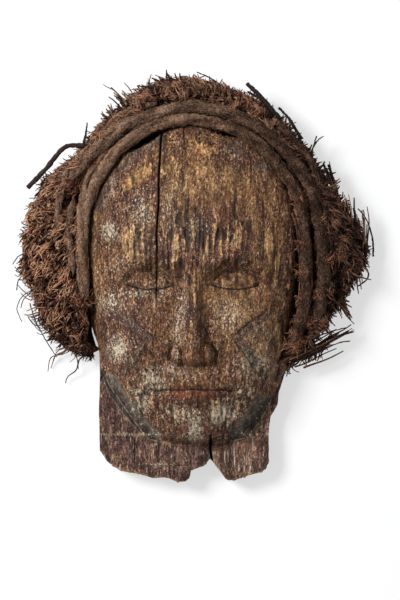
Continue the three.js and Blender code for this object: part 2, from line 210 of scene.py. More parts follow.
def linked(name, data):
    made = bpy.data.objects.new(name, data)
    bpy.context.scene.collection.objects.link(made)
    return made


def addPiece(name, mesh, material, nodes=()):
    piece = linked(name, mesh)
    mesh.materials.clear()
    mesh.materials.append(material)
    mesh.shade_smooth()
    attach(piece, "root")
    if nodes:
        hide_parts(*nodes)
    mesh.calc_loop_triangles()
    print(f"  {name}: {len(mesh.loop_triangles)} triangles")


# Material nodes written as sums

class Reading:
    def __init__(self, finish, socket):
        self.finish = finish
        self.socket = socket

    def maths(self, operation, first, second=0):
        return self.finish.node("ShaderNodeMath", {"operation": operation}, {0: first, 1: second})

    def __add__(self, other):
        return self.maths("ADD", self, other)

    def __radd__(self, other):
        return self.maths("ADD", other, self)

    def __sub__(self, other):
        return self.maths("SUBTRACT", self, other)

    def __rsub__(self, other):
        return self.maths("SUBTRACT", other, self)

    def __mul__(self, other):
        return self.maths("MULTIPLY", self, other)

    def __rmul__(self, other):
        return self.maths("MULTIPLY", other, self)

    def __abs__(self):
        return self.maths("ABSOLUTE", self)


class Finish:
    def __init__(self, name, settings):
        self.material = bpy.data.materials.new(name)
        self.material.use_nodes = True
        self.tree = self.material.node_tree
        self.shader = self.tree.nodes["Principled BSDF"]
        for socket, value in settings.items():
            self.shader.inputs[socket].default_value = value
        self.place = self.node("ShaderNodeTexCoord", output="Object")

    def node(self, kind, settings=None, values=None, output=0):
        made = self.tree.nodes.new(kind)
        for key, value in (settings or {}).items():
            if key == "stops":
                self.setStops(made.color_ramp, value)
            else:
                setattr(made, key, value)
        for key, value in (values or {}).items():
            if isinstance(value, Reading):
                self.tree.links.new(value.socket, made.inputs[key])
            else:
                made.inputs[key].default_value = value
        return Reading(self, made.outputs[output])

    def setStops(self, ramp, stops):
        while len(ramp.elements) < len(stops):
            ramp.elements.new(1)
        for element, (position, colour) in zip(ramp.elements, stops):
            element.position = position
            element.color = (*colour, 1)

    def grain(self, perMillimetre, detail=4, roughness=0.6, warp=0):
        scale = tuple(np.broadcast_to(perMillimetre, 3) / mm)
        moved = self.node("ShaderNodeMapping", {}, {"Vector": self.place, "Scale": scale})
        values = {"Vector": moved, "Scale": 1, "Detail": detail, "Roughness": roughness, "Distortion": warp}
        return self.node("ShaderNodeTexNoise", {}, values)

    def layer(self, name):
        return self.node("ShaderNodeAttribute", {"attribute_name": name}, output="Fac")

    def band(self, value, low, high, toLow=0, toHigh=1):
        values = {"Value": value, "From Min": low, "From Max": high, "To Min": toLow, "To Max": toHigh}
        return self.node("ShaderNodeMapRange", {"interpolation_type": "SMOOTHSTEP"}, values)

    def ramp(self, value, stops):
        return self.node("ShaderNodeValToRGB", {"stops": stops}, {"Fac": value})

    def blend(self, amount, under, over, kind="MIX"):
        under, over = [v if isinstance(v, Reading) or len(v) == 4 else (*v, 1) for v in (under, over)]
        settings = {"data_type": "RGBA", "blend_type": kind}
        return self.node("ShaderNodeMix", settings, {0: amount, 6: under, 7: over}, output=2)

    def coated(self, colour, *coats):
        for share, coat in coats:
            colour = self.blend(share, colour, coat)
        return colour

    def tinted(self, colour, perMillimetre, detail, *hues):
        # Shifts a colour between three hues in small patches.
        tint = self.ramp(self.grain(perMillimetre, detail, 0.7), list(zip((0.4, 0.5, 0.6), hues)))
        return self.blend(0.9, colour, tint, "MULTIPLY")

    def bumps(self, height, distance, strength=1):
        return self.node("ShaderNodeBump", {}, {"Height": height, "Distance": distance * mm, "Strength": strength})

    def done(self, **links):
        for socket, value in links.items():
            self.tree.links.new(value.socket, self.shader.inputs[socket.replace("_", " ")])
        return self.material


# The carved wood

carving = {
    "columns": 250, "rows": 184, "hollowColumns": 60, "hollowRows": 40, "chamfer": 0.8,
    "rings": (3, 7, 22, 8),  # down the jaw's wall, over the collar, across the board and down its side
    "sideZ": 19, "jawZ": 23, "middleZ": 39, "roundness": 0.62,
    "boardZ": 14, "boardDrop": 3.4, "boardHalf": 48, "borderY": -78, "panelDrop": 1.1,
    "collarTopZ": 17.5, "hollowHalf": 43, "hollowUp": 45, "hollowDown": 82.5, "hollowDepth": 30, "hollowRound": 2.8,
    "bridgeHalf": 4.8, "ridgeHalf": 6.8, "bridgeRise": 1.8, "tipRise": 10.6,
    "grainDepth": 0.22, "checkDepth": 0.5, "flakeDepth": 0.4, "pitDepth": 0.6, "tooling": 0.9,
}
wallEnd, collarEnd, boardEnd, sideEnd = np.cumsum(carving["rings"]).tolist()

# The board's outline from its left shoulder round the broken lower edge to the right one.
boardOutline = [
    (-40, 12), (-54, 5), (-55, -12), (-52.5, -22), (-49, -32), (-47.9, -38), (-47.8, -52), (-48.4, -64),
    (-47.9, -85.5), (-44, -91.3), (-37.2, -95.9), (-27.6, -97.4), (-21.5, -99.3), (-14.2, -99), (-8.9, -101.3),
    (-4.7, -101), (-2.5, -98.8), (-2.1, -95.5), (4.4, -93.2), (7.5, -89.6), (11.5, -94.3), (15.5, -100),
    (19.5, -100.6), (27, -98), (34, -96.2), (37, -92), (37, -75.5), (38, -68.5), (41.6, -62.5), (42, -57),
    (45.5, -46), (48.5, -39), (50, -30), (52, -15), (52.2, 5), (40, 12),
]

# The collar's outer edge: the degrees round the egg, and the point there.
collarEdge = [
    (186, -54.6, 2), (195, -54.7, -10), (204, -52, -22.5), (213, -48.6, -32.5), (221, -47.7, -42),
    (228, -43.6, -52), (238, -36.5, -62.5), (248, -29, -73), (255, -24, -79.5), (263, -11, -82.5), (270, -1, -83),
    (279, 13, -82), (290, 27.5, -78.5), (299, 33.5, -69.5), (308, 38.6, -60), (316, 42.6, -51), (325, 47.4, -40),
    (335, 49.8, -29), (345, 51.6, -14), (354, 51.9, 2),
]
collarDegrees, collarLine = np.array(collarEdge)[:, 0], np.array(collarEdge)[:, 1:]

# Splits: the line, half its width, how deep it goes and how dark the painted shade in it looks.
splits = [
    ([(-16.6, 84), (-16.9, 68), (-17.7, 52), (-17.9, 38), (-18.8, 24), (-18.6, 14)], 0.36, 4, 1),
    ([(-18.6, 14), (-18.8, 2), (-18.9, -8)], 0.28, 2, 0.85),
    ([(-18.9, -8), (-19.2, -33), (-19.6, -56)], 0.22, 0.5, 0.55),
    ([(-5.2, 80), (-5.5, 74), (-5, 67)], 0.25, 1.2, 0.6),
    ([(27, 64), (28, 56), (27.4, 47)], 0.3, 0.6, 0.6),
    ([(33.8, 38), (34.2, 24), (33.6, 10)], 0.35, 0.7, 0.6),
    ([(8, -77), (7.7, -84), (8.9, -93)], 0.5, 4, 1),
    ([(-41, 20), (-42, 6), (-41.6, -3)], 0.25, 0.4, 0.4),
    ([(44, -20), (43.4, -38), (40.5, -50)], 0.35, 0.7, 0.7),
    ([(-45, -46.5), (-48.5, -51)], 0.5, 0.8, 0.8),
]
# Carved marks: on the board's border and, mirrored, on each cheek.
boardMarks = [[(-30, -80), (-30.2, -91)], [(-18, -81), (-18.2, -92.5)], [(-28.5, -93.4), (-4, -93.1)]]
cheekMarks = [[(37, -15), (28, -21), (19.5, -28.5)], [(19.5, -28.5), (26, -38), (33.5, -48)]]
cheekBand = {"wide": 4.2, "deep": 0.6}

# The face is plain and calm: its own forms, laid out on the canon above.
features = {
    "brow": (1.9, 3.8), "crease": (-1.3, 1.1), "wing": (-1.3, 0.9), "parting": (-1.3, 0.65),
    "lid": {"half": (11, 5.6), "rise": 3.9, "slit": 1.3}, "philtrum": {"depth": 0.7, "half": 1.7},
    "upperLip": {"middleY": 2.4, "half": 0.88, "thick": 2.6, "dip": -1},
    "lowerLip": {"middleY": -2.8, "half": 0.79, "thick": 3.2, "dip": 1.6},
    "lipBulge": 3.1, "underLip": {"depth": 1.6, "drop": 10},
}
mouthHalf = eyeWidth * 0.9
# Soft forms and dents: the rise, the middle as seen on the right-hand side, and half the size.
faceForms = [
    (1.4, (eyeWidth * 0.95, browY + 3), (20, 7)), (2.4, (eyeWidth * 1.25, noseBaseY + 13), (19, 21)),
    (2.6, (0, head["chinY"] + 12), (16, 12)), (-3.2, (eyeWidth, eyeLineY + 1.5), (16, 10.5)),
    (-1.6, (eyeWidth * 0.5, eyeLineY), (8, 9)), (2, (0, mouthY), (30, 22)),
]
sockets = [(-1.6, (eyeWidth * 0.98, eyeLineY + 1), (16, 10))]
nostrilsAndCorners = [
    (-2.6, (eyeWidth * 0.26, noseBaseY - 0.2), (2.6, 1.9)), (-1.3, (mouthHalf + 1, mouthY - 0.8), (3.6, 3.2)),
]


def faceHeight(x, y):
    side, up = np.abs(x - head["centreX"]), y - head["widestY"]
    out = np.minimum(1, (side / head["halfWidth"]) ** 2 + (up / eggReach(up)) ** 2)
    edge = mix(carving["sideZ"], carving["jawZ"], smooth(-y, 20, 70))
    height = edge + (carving["middleZ"] - edge) * (1 - out) ** carving["roundness"]
    for rise, middle, half in faceForms:
        height = height + rise * bump(side, y, middle, half)
    return height


def noseRise(across, y):
    down = np.clip((browY + 2 - y) / (browY + 2 - noseBaseY), 0, 1)
    flare = smooth(down, 0.62, 0.92)
    half = mix(mix(carving["bridgeHalf"], carving["ridgeHalf"], down), eyeWidth / 2, flare)
    place = across / half
    ridge = np.maximum(0, 1 - (place / mix(1, 0.66, flare)) ** 2) ** 0.85
    wing = 0.6 * flare * np.sqrt(np.maximum(0, 1 - ((np.abs(place) - 0.72) / 0.3) ** 2))
    rise = mix(carving["bridgeRise"], carving["tipRise"], down ** 0.9)
    fade = (1 - smooth(noseBaseY - y, -1.6, 2.4)) * (1 - smooth(y - browY, 2, 9))
    return rise * np.maximum(ridge, wing) * fade - 0.4


def lipRise(across, y, lip):
    half = eyeWidth * lip["half"]
    place = np.clip(across / half, -1, 1)
    size = np.sqrt(1 - place ** 2)
    middle = mouthY + lip["middleY"] + lip["dip"] * (place ** 2 - 0.5 * hill(place * 6, 1))
    roll = 1 - ((y - middle) / (lip["thick"] * np.maximum(size, 0.05))) ** 2
    return features["lipBulge"] * size * np.sqrt(np.maximum(0, roll)) - 0.8


def mirroredLine(side, stops, level=eyeLineY):
    # Stops in eye widths from the middle and millimetres above a level.
    return [(head["centreX"] + side * wide * eyeWidth, level + rise) for wide, rise in stops]


slitStops = [(0.46, -0.9), (0.62, -2.1), (0.85, -3), (1.1, -3.1), (1.35, -2.2), (1.56, -0.8)]
creaseStops = [(0.44, 0.6), (0.6, 3.9), (0.85, 5.9), (1.12, 6.1), (1.4, 4.2), (1.62, 0.9)]
browStops = [(0.28, 5.5), (0.5, 9.6), (0.8, 12.6), (1.15, 13.2), (1.5, 11), (1.78, 6.5)]
parting = [(head["centreX"] + t * mouthHalf, mouthY - 0.7 * t * t + 0.25 * math.cos(9 * t)) for t in
           (-1, -0.75, -0.5, -0.25, 0, 0.25, 0.5, 0.75, 1)]
# Each wing of the nose is set off from the cheek by a curved line.
wingStops = [(0.34, -31), (0.5, -33), (0.57, -36.5), (0.53, -39.5), (0.42, -40.6)]
# The painted shade along the features' own lines: the stops, their level, half the width and the darkness.
featureShadeLines = [(slitStops, eyeLineY, 0.42, 0.85), (creaseStops, eyeLineY, 0.5, 0.35), (wingStops, 0, 0.6, 0.5)]


def ridgeAlong(x, y, line, rise, width):
    # With a negative rise it is a groove.
    return rise * hill(awayFromLine(x, y, line), width)


def pressed(height, x, y, side, dents):
    for rise, (away, level), half in dents:
        height = height + rise * bump(x, y, (head["centreX"] + side * away, level), half)
    return height


def carvedFace(x, y):
    across = x - head["centreX"]
    height = faceHeight(x, y)
    for side in (-1, 1):
        height = height + ridgeAlong(x, y, mirroredLine(side, browStops), *features["brow"])
        height = pressed(height, x, y, side, sockets)
    nose = noseRise(across, y)
    height = mix(height, softMax(height, height + nose, 1.1) - 0.4, smooth(nose, -0.4, 0.6))
    for name in ("upperLip", "lowerLip"):
        height = softMax(height, height + lipRise(across, y, features[name]), 0.45) - 0.1
    lid = features["lid"]
    for side in (-1, 1):
        lidX = head["centreX"] + side * eyeWidth
        q = ((x - lidX) / lid["half"][0]) ** 2 + ((y - eyeLineY) / lid["half"][1]) ** 2
        middle = faceHeight(np.array([lidX]), np.array([eyeLineY]))[0]
        ball = middle - 0.9 + lid["rise"] * np.sqrt(np.maximum(0, 1 - q))
        height = np.where(q < 1, softMax(height, ball, 0.4) - 0.1, height)
        height = height + ridgeAlong(x, y, mirroredLine(side, creaseStops), *features["crease"])
        slit = awayFromLine(x, y, mirroredLine(side, slitStops))
        height = height - lid["slit"] * hill(slit, 0.6) + 0.35 * hill(slit - 1.5, 1)
        height = height + ridgeAlong(x, y, mirroredLine(side, wingStops, 0), *features["wing"])
        height = pressed(height, x, y, side, nostrilsAndCorners)
    philtrum, underLip = features["philtrum"], features["underLip"]
    groove = 0.5 * hill(np.abs(across) - 2.6, 1) - philtrum["depth"] * hill(across, philtrum["half"])
    height = height + between(y, mouthY + 5.4, noseBaseY - 3, 1.5) * groove
    height = height - underLip["depth"] * bump(across, y, (0, mouthY - underLip["drop"]), (13, 4))
    return height + ridgeAlong(x, y, parting, *features["parting"])


def boardHeight(x):
    return carving["boardZ"] - carving["boardDrop"] * (x / carving["boardHalf"]) ** 2


def outlineReach(dirX, dirY):
    # How far the ray from the egg's middle runs to the board's outline.
    reach = np.ones(len(dirX))
    startX, startY = head["centreX"], head["widestY"]
    for (ax, ay), (bx, by) in zip(boardOutline, boardOutline[1:]):
        edgeX, edgeY = bx - ax, by - ay
        cross = dirX * edgeY - dirY * edgeX
        cross = np.where(np.abs(cross) < 1e-9, 1e-9, cross)
        far = ((ax - startX) * edgeY - (ay - startY) * edgeX) / cross
        share = ((ax - startX) * dirY - (ay - startY) * dirX) / cross
        reach = np.where((share >= 0) & (share <= 1) & (far > reach), far, reach)
    return reach


def woodGrid():
    # The face is a grid, its edge runs out in rings over the collar and board, and a second grid closes the back.
    bm = bmesh.new()
    bmesh.ops.create_grid(bm, x_segments=carving["columns"], y_segments=carving["rows"], size=1)
    edges = extrudeRings(bm, [edge for edge in bm.edges if edge.is_boundary], sideEnd)
    back = Matrix.Translation((0, 0, sideEnd + 1))
    columns, rows = carving["hollowColumns"], carving["hollowRows"]
    inside = bmesh.ops.create_grid(bm, x_segments=columns, y_segments=rows, size=1, matrix=back)["verts"]
    insideEdges = {edge for vert in inside for edge in vert.link_edges if edge.is_boundary}
    bmesh.ops.bridge_loops(bm, edges=edges + sorted(insideEdges, key=lambda edge: edge.index))
    bmesh.ops.recalc_face_normals(bm, faces=bm.faces)
    return meshFrom(bm, "carved_mask")


def ringPlaces(degrees, ring):
    # Where each ring's points lie: down the jaw's wall, over the collar, across the board and down its side.
    edgeX, edgeY = besideEgg(degrees)
    edgeZ = faceHeight(edgeX, edgeY)
    footX, footY = besideEgg(degrees, 0.5)
    outX, outY = pointsAt(degrees, collarDegrees, collarLine).T
    outZ = boardHeight(outX) - carving["panelDrop"] / 2
    dirX, dirY = edgeX - head["centreX"], edgeY - head["widestY"]
    reach = outlineReach(dirX, dirY)
    rimX, rimY = head["centreX"] + dirX * reach, head["widestY"] + dirY * reach

    down = portion(ring, 0, wallEnd)
    wall = mix(edgeX, footX, down), mix(edgeY, footY, down), mix(edgeZ, carving["collarTopZ"], down)
    slope = portion(ring, wallEnd, collarEnd)
    collar = mix(footX, outX, slope), mix(footY, outY, slope), mix(carving["collarTopZ"], outZ, slope ** 0.72)
    x, y, z = chosen(ring > wallEnd, collar, wall)
    spread = portion(ring, collarEnd, boardEnd)
    x, y = chosen(ring > collarEnd, (mix(outX, rimX, spread), mix(outY, rimY, spread)), (x, y))
    border = smooth(carving["borderY"] - y, -0.5, 0.5)
    z = np.where(ring > collarEnd, boardHeight(x) - carving["panelDrop"] * (1 - border), z)
    z = z * (1 - portion(ring, boardEnd, sideEnd))

    # Over the cheeks and crown there is no board, so the same rings run straight down the wall.
    lower = smooth(degrees, 182, 197) * (1 - smooth(degrees, 343, 356))
    straight = edgeZ * (1 - portion(ring, 0, sideEnd))
    return mix(edgeX, x, lower), mix(edgeY, y, lower), mix(straight, z, lower), lower


def hollowPlaces(across, along):
    radius = np.minimum(1, np.hypot(across, along))
    packed = 1 - (1 - radius) ** 1.7
    grow = packed / np.maximum(radius, 1e-6)
    across, along = across * grow, along * grow
    depth = (1 - np.minimum(1, packed) ** carving["hollowRound"]) ** 0.6
    x = head["centreX"] + across * carving["hollowHalf"]
    y = head["widestY"] + along * np.where(along > 0, carving["hollowUp"], carving["hollowDown"])
    return x, y, depth * carving["hollowDepth"]


# Where the old surface, bare wood, earth and soot lie: middle, radii, strength and, if turned, the degrees.
patina = {
    "crust": [
        (5, 16, 14, 12, 0.75), (24, 60, 12, 8, 0.3), (47, 5, 5, 24, 0.3), (0, -74, 24, 8, 0.35),
        (-22, -60, 13, 10, 0.4), (-35, -24, 10, 15, 0.75), (-3, -20, 7, 15, 0.3), (33, -33, 10, 14, -0.35),
        (4, 0, 8, 9, -0.4), (22, -62, 12, 9, 0.35), (8, 48, 20, 9, -0.45), (38, 12, 5, 18, -0.2),
        (52, -2, 3, 26, 0.4), (-26, 42, 17, 3.2, 0.6, 38), (-33, 40, 14, 9, 0.2, 38), (-26, 31, 12, 7, -0.15),
        (-31, 14, 14, 10, 0.12), (18, -10, 13, 10, -0.35), (30, 30, 14, 14, -0.15),
    ],
    "bare": [
        (-28, 50.5, 10.5, 3.2, 0.8, 38), (-12.5, 55, 3.5, 7, 0.6), (5, 64, 8, 5, 0.65), (1, 57, 9, 3.5, 0.35),
        (-11, 13, 4, 9, 0.3), (38, 10, 5, 17, 0.25), (44, -34, 4, 18, 0.4, 20), (-45, -93, 7, 4, 0.8, -35),
        (-32, -97, 12, 2.5, 0.6), (22, -97, 14, 2.5, 0.5),
    ],
    "chalk": [
        (-26, 33, 6, 8, 0.75), (-42, 24, 4, 5, 0.9), (-13, 34, 4, 12, 0.45), (-43, -11, 7, 5, 0.8),
        (-38, -34, 5, 6, 0.95), (-8, -22, 3, 18, 0.65, -8), (-9, -45.5, 15, 3.5, 0.45, -6),
        (17, -17, 7, 8, 0.7), (-30, -7, 9, 2.5, 0.6), (-22, -4, 8, 2, 0.4), (29, -42, 9, 9, 0.6),
        (15, -66, 7, 5, 0.95), (0, -72, 3.5, 8, 0.8), (-21, -50, 7, 7, 0.45), (-27, -60, 5, 8, 0.4),
        (21, -88, 10, 8, 0.75), (-24, -86, 12, 5, 0.25), (-18, -92.4, 12, 1, 0.7), (-35, 6, 8, 8, 0.3),
        # The two thin strips at y -77.4 lie along the border's step: painted highlight on its edge.
        (0, 26, 10, 8, 0.4), (-17, -4, 3, 8, 0.4), (-28, -77.4, 22, 0.8, 0.75), (26, -77.4, 14, 0.8, 0.5),
        (35, -28, 6, 10, 0.4), (-30, 20, 12, 10, 0.25),
    ],
    "stripes": [
        (-29, 17, 10, 10, 1.25), (-12, 13, 6, 12, 1.25), (38, 10, 6, 18, 1), (10, 22, 18, 15, 0.95),
        (0, -16, 6, 14, 1), (44, -34, 4, 18, 0.5, 20), (38, -33, 6, 9, 0.8), (-42, 10, 5, 8, 0.4),
        (-24, -86, 16, 6, 0.45), (14, -64, 12, 8, 0.7), (-22, -62, 10, 8, 0.6), (19, -87, 12, 9, 0.6),
        (-3, 50, 18, 10, 0.7),
    ],
    "cakes": [
        (12, -68, 7, 6, 1), (0, -75, 5, 7, 1), (-21, -50, 8, 7, 0.9), (-27, -60, 6, 9, 0.9),
        (29, -42, 9, 9, 0.6), (-10, -66, 10, 6, 0.7), (22, -56, 8, 6, 0.7), (-9, -45.5, 13, 3.5, 0.3, -6),
        (-42, 24, 5, 5, 0.7), (-38, -34, 5, 6, 0.7),
    ],
    "rust": [
        (10, 34, 13, 11, 0.7), (-1, -56, 18, 5.5, 0.9), (12, 12, 12, 12, 0.45), (-20, -62, 14, 12, 0.5),
        (0, -74, 22, 8, 0.6), (-38, -20, 12, 14, 0.3), (36, -6, 12, 20, 0.35), (1, -38, 8, 5, 0.6),
        (20, -86, 14, 9, 0.8), (-30, -88, 18, 10, 0.4), (-8, -45, 14, 4, 0.3), (0, -8, 6, 16, 0.3),
        (48, -45, 5, 20, 0.5), (-52, -25, 6, 16, 0.5),
    ],
    "soot": [
        (19, 65, 8, 6, 0.85, -20), (34, 56, 6, 5, 0.8, -40), (0, 74, 14, 3, 0.5), (46, 0, 4, 26, 0.3),
        (-8, -99, 6, 3.5, 1), (-28, -26, 6, 12, 0.45, 30), (-40, 5, 6, 8, 0.35), (-43, 30, 6, 14, 0.4, -10),
    ],
}
chips = [{"degrees": 118, "spread": 9, "depth": 2.6}, {"degrees": 72, "spread": 7, "depth": 2}]


def patchOf(name, x, y):
    total = np.zeros(len(x))
    for px, py, rx, ry, strength, *turned in patina[name]:
        turn = math.radians(sum(turned))
        c, s = math.cos(turn), math.sin(turn)
        right, up = (x - px) * c + (y - py) * s, (y - py) * c - (x - px) * s
        patch = strength * np.exp(-((right / rx) ** 2 + (up / ry) ** 2))
        total = total + patch if name == "crust" else np.maximum(total, patch)
    return total


def cutLines():
    # Every cut with painted shade along it: its points, half width, depth and the darkness of the shade.
    lines = [(evenLine(points, 24).tolist(), half, deep, dark) for points, half, deep, dark in splits]
    marks = [[(head["centreX"] + side * x, y) for x, y in line] for side in (-1, 1) for line in cheekMarks]
    lines += [(line, 0.4, 0.8, 0.45) for line in boardMarks + marks]
    for side in (-1, 1):
        lines += [(mirroredLine(side, stops, level), half, 0, dark) for stops, level, half, dark in featureShadeLines]
    return lines + [(parting, 0.42, 0, 0.8)]


def weathered(flat, onFace):
    # The height of the weathered surface, and the layers of it that the finish reads.
    x, y, _ = flat.T
    streaked = flat.copy()
    streaked[:, 0] += 1.6 * noiseAt(flat, (0.05, 0.03, 0), 1)

    def streak(wide, tall, seed):
        return noiseAt(streaked, (wide, tall, 0), seed)

    crust = np.clip(0.5 + patchOf("crust", x, y) + 0.12 * (y < -78), 0, 1)
    bare, stripes = patchOf("bare", x, y), patchOf("stripes", x, y)
    # Weathering is deepest over the eyes and in the middle, and leaves the temples nearly smooth.
    rough = 0.35 + 0.8 * bump(x, y, (4, 18), (46, 42)) + 0.4 * bare + 0.4 * smooth(-y, 30, 60)
    checks, pits = smooth(streak(0.85, 0.045, 4), 0.26, 0.44), smooth(streak(0.5, 0.22, 8), 0.26, 0.42)
    flakes = streak(0.3, 0.06, 5) + 0.5 * streak(0.8, 0.2, 6)
    held = smooth(flakes + 0.55 * (crust - 0.5), -0.06, 0.06)
    relief = carving["grainDepth"] * (1 - 3.2 * np.abs(streak(0.62, 0.035, 2))) + 0.16 * streak(1.3, 0.07, 3)
    relief = relief - carving["checkDepth"] * checks - carving["pitDepth"] * pits
    relief = relief * rough + carving["flakeDepth"] * (held - 0.5)
    relief = relief + carving["tooling"] * noiseAt(flat, (0.07, 0.05, 0), 7)
    # In places the soft grain has gone and left light ridges with dark pits between them.
    stripeNoise = streak(0.46, 0.055, 14) + 0.4 * streak(0.9, 0.2, 15)
    ridge, pit = stripes * smooth(stripeNoise, 0.06, 0.16), stripes * smooth(-stripeNoise, 0.08, 0.2)
    relief = relief + 0.35 * ridge - 0.5 * pit
    # The cheek band is a flat strip beside the two carved marks.
    side = np.abs(x - head["centreX"])
    vee = cheekMarks[1][::-1] + cheekMarks[0][::-1][1:]
    veeX, veeY = np.array(vee).T
    strip = onFace * smooth(side - np.interp(y, veeY, veeX), 0, 0.5)
    strip = strip * (1 - smooth(awayFromLine(side, y, vee), cheekBand["wide"] - 0.6, cheekBand["wide"]))
    strip = strip * between(y, -46, -17, 2)
    relief = relief - cheekBand["deep"] * strip
    # Painted shade: the pits, checks and low relief are darkened in the colour as well.
    low = np.clip(0.8 * pits * rough + 0.7 * checks * rough + 0.55 * pit - relief * 0.3, 0, 1)
    crust = np.clip(crust + 0.2 * (held - 0.5), 0, 1)
    return relief, {"ridge": ridge, "strip": strip, "crust": crust, "bare": bare, "low": low}


# Each cut's depth, and the painted shade drawn along it.
def cutShadeLines(x, y):
    depth, line, cutShade = np.zeros(len(x)), np.full(len(x), 9.0), np.zeros(len(x))
    for points, half, deep, dark in cutLines():
        away, sign, past = besideLine(x, y, points)
        depth = np.maximum(depth, deep * hill(away, max(half, 0.5), 4))
        closer = (away / half < np.abs(line)) & (away < 3)
        line = np.where(closer, sign * away / half, line)
        cutShade = np.where(closer, dark * (1 - smooth(past, 0, 1.2)), cutShade)
    return depth, line, cutShade


def carveMask():
    mesh = woodGrid()
    u, v, ring = readPoints(mesh).T
    across, along = u * np.sqrt(1 - v * v / 2), v * np.sqrt(1 - u * u / 2)
    degrees, radius = np.degrees(np.arctan2(along, across)) % 360, np.hypot(across, along)
    onFace, inside = ring < 0.5, ring > sideEnd + 0.5
    outer = ~onFace & ~inside
    x = head["centreX"] + head["halfWidth"] * across
    y = head["widestY"] + eggReach(along) * along
    # Points beside a split move onto it, so that it runs clean through the grid.
    for points, *_ in cutLines()[:4]:
        away, sign, past = besideLine(x, y, points)
        x = np.where(onFace & (past < 0.5), x + sign * away * hill(away, 0.4), x)
    *ringPoint, lower = ringPlaces(degrees, ring)
    x, y, z = chosen(outer, ringPoint, (x, y, carvedFace(x, y)))
    x, y, z = chosen(inside, hollowPlaces(across, along), (x, y, z))

    side = outer & ((ring > boardEnd + 0.5) | (lower < 0.5))
    flat = np.stack([x, y, np.zeros(len(x))], axis=1)
    relief, layers = weathered(flat, onFace)
    depth, line, cutShade = cutShadeLines(x, y)
    z = np.where(~inside & ~side, z + relief * np.where(outer, 0.6, 1) - depth, z)

    here = np.stack([x, y, z], axis=1)
    edgeNoise = noiseAt(here, (0.5, 0.5, 0.12), 9) + 0.5 * noiseAt(here, (1.2, 1.2, 0.3), 10)
    broken = 0.35 + 0.6 * smooth(-y, 80, 92)
    x, y = chosen(side, (x + across * edgeNoise * broken, y + along * edgeNoise * broken), (x, y))
    gouges = noiseAt(np.stack([x, y, z], axis=1), (0.12, 0.09, 0.12), 11)
    z = np.where(inside & (z > 0.5), z + 0.7 * gouges, z)
    foot, chamfer = outer & (ring > sideEnd - 0.5), carving["chamfer"]
    x, y = chosen(foot, (x - across * chamfer, y - along * chamfer), (x, y))
    z = np.where(foot, 0, np.maximum(z, 0))

    # The crown's edge is chipped under the cord.
    for chip in chips:
        near = hill(degrees - chip["degrees"], chip["spread"], 4) * smooth(radius, 0.93, 0.99) * ~inside
        ragged = chip["depth"] * near * (0.8 + 0.5 * noiseAt(flat, (0.5, 0.5, 0), 12))
        x, y = x - across * ragged, y - along * ragged
        z = np.where(z > 4, z - ragged * smooth(z, 4, 16), z)
    placePoints(mesh, np.stack([x, y, z], axis=1))

    onRings, leftHalf = outer & (lower > 0.5), x < head["centreX"]
    bandEnd = collarEnd + np.where(leftHalf & (y > carving["borderY"] + 1), 2.5, 0.5)
    slope = (ring - wallEnd) / (collarEnd - wallEnd)
    band = np.where(leftHalf, smooth(-y, 45, 49), smooth(-y, 56, 60)) * (1 - between(x, -15, 15, 4))
    # Pale lines along the jaw's edge, the collar's and board's outer edges, the border's step and the board's lower
    # mark: rubbed wear, with painted highlight on those edges.
    worn = np.where(onRings, hill(ring - 0.5, 1) + hill(slope - 1, 0.12) + 1.1 * hill(ring - boardEnd, 1.3), 0)
    footLine = hill(y + 93.4, 0.6) * between(x, -29, -4, 2)
    borderWearAndHighlight = 1.3 * hill(y - carving["borderY"] - 0.3, 0.65) + footLine
    rimSoot = onFace * smooth(radius, 0.8, 0.92) * between(degrees, 112, 164, 10)
    layers.update({
        "ridge": layers["ridge"] * ~inside, "cakes": patchOf("cakes", x, y) * ~inside,
        "chalk": patchOf("chalk", x, y), "rust": patchOf("rust", x, y),
        "soot": np.maximum(patchOf("soot", x, y), 0.9 * rimSoot), "line": line, "dark": cutShade,
        # The band's value grows across the collar, which the finish paints as highlight by the jaw and shade further
        # out.
        "band": (onRings & (ring > 1.5) & (ring < bandEnd)) * band * (0.4 + 0.6 * np.clip(slope, 0, 1)),
        "plate": outer & (ring > collarEnd + 0.5) & (lower > 0.3),
        "worn": worn + np.where(onRings & (ring > collarEnd), borderWearAndHighlight, 0), "hidden": inside | side,
    })
    for name, values in layers.items():
        paintLayer(mesh, name, values)
    return mesh


# The wood's colours, each from its dark pores to its light flakes.
woodTones = {
    "tan": [(0.42, (0.055, 0.024, 0.011)), (0.47, (0.175, 0.087, 0.037)), (0.52, (0.335, 0.178, 0.076)),
            (0.58, (0.7, 0.47, 0.25))],
    "crust": [(0.42, (0.008, 0.003, 0.003)), (0.48, (0.055, 0.02, 0.014)), (0.54, (0.165, 0.066, 0.04)),
              (0.6, (0.52, 0.32, 0.2))],
    "ochre": [(0.42, (0.16, 0.068, 0.023)), (0.5, (0.42, 0.225, 0.088)), (0.57, (0.72, 0.48, 0.24))],
    "grey": [(0.42, (0.026, 0.015, 0.014)), (0.5, (0.092, 0.056, 0.047)), (0.57, (0.23, 0.165, 0.145))],
    "flesh": [(0.42, (0.024, 0.01, 0.011)), (0.5, (0.108, 0.055, 0.055)), (0.58, (0.27, 0.175, 0.16))],
    "pale": [(0.42, (0.14, 0.068, 0.03)), (0.5, (0.46, 0.29, 0.145)), (0.57, (0.8, 0.58, 0.34))],
}


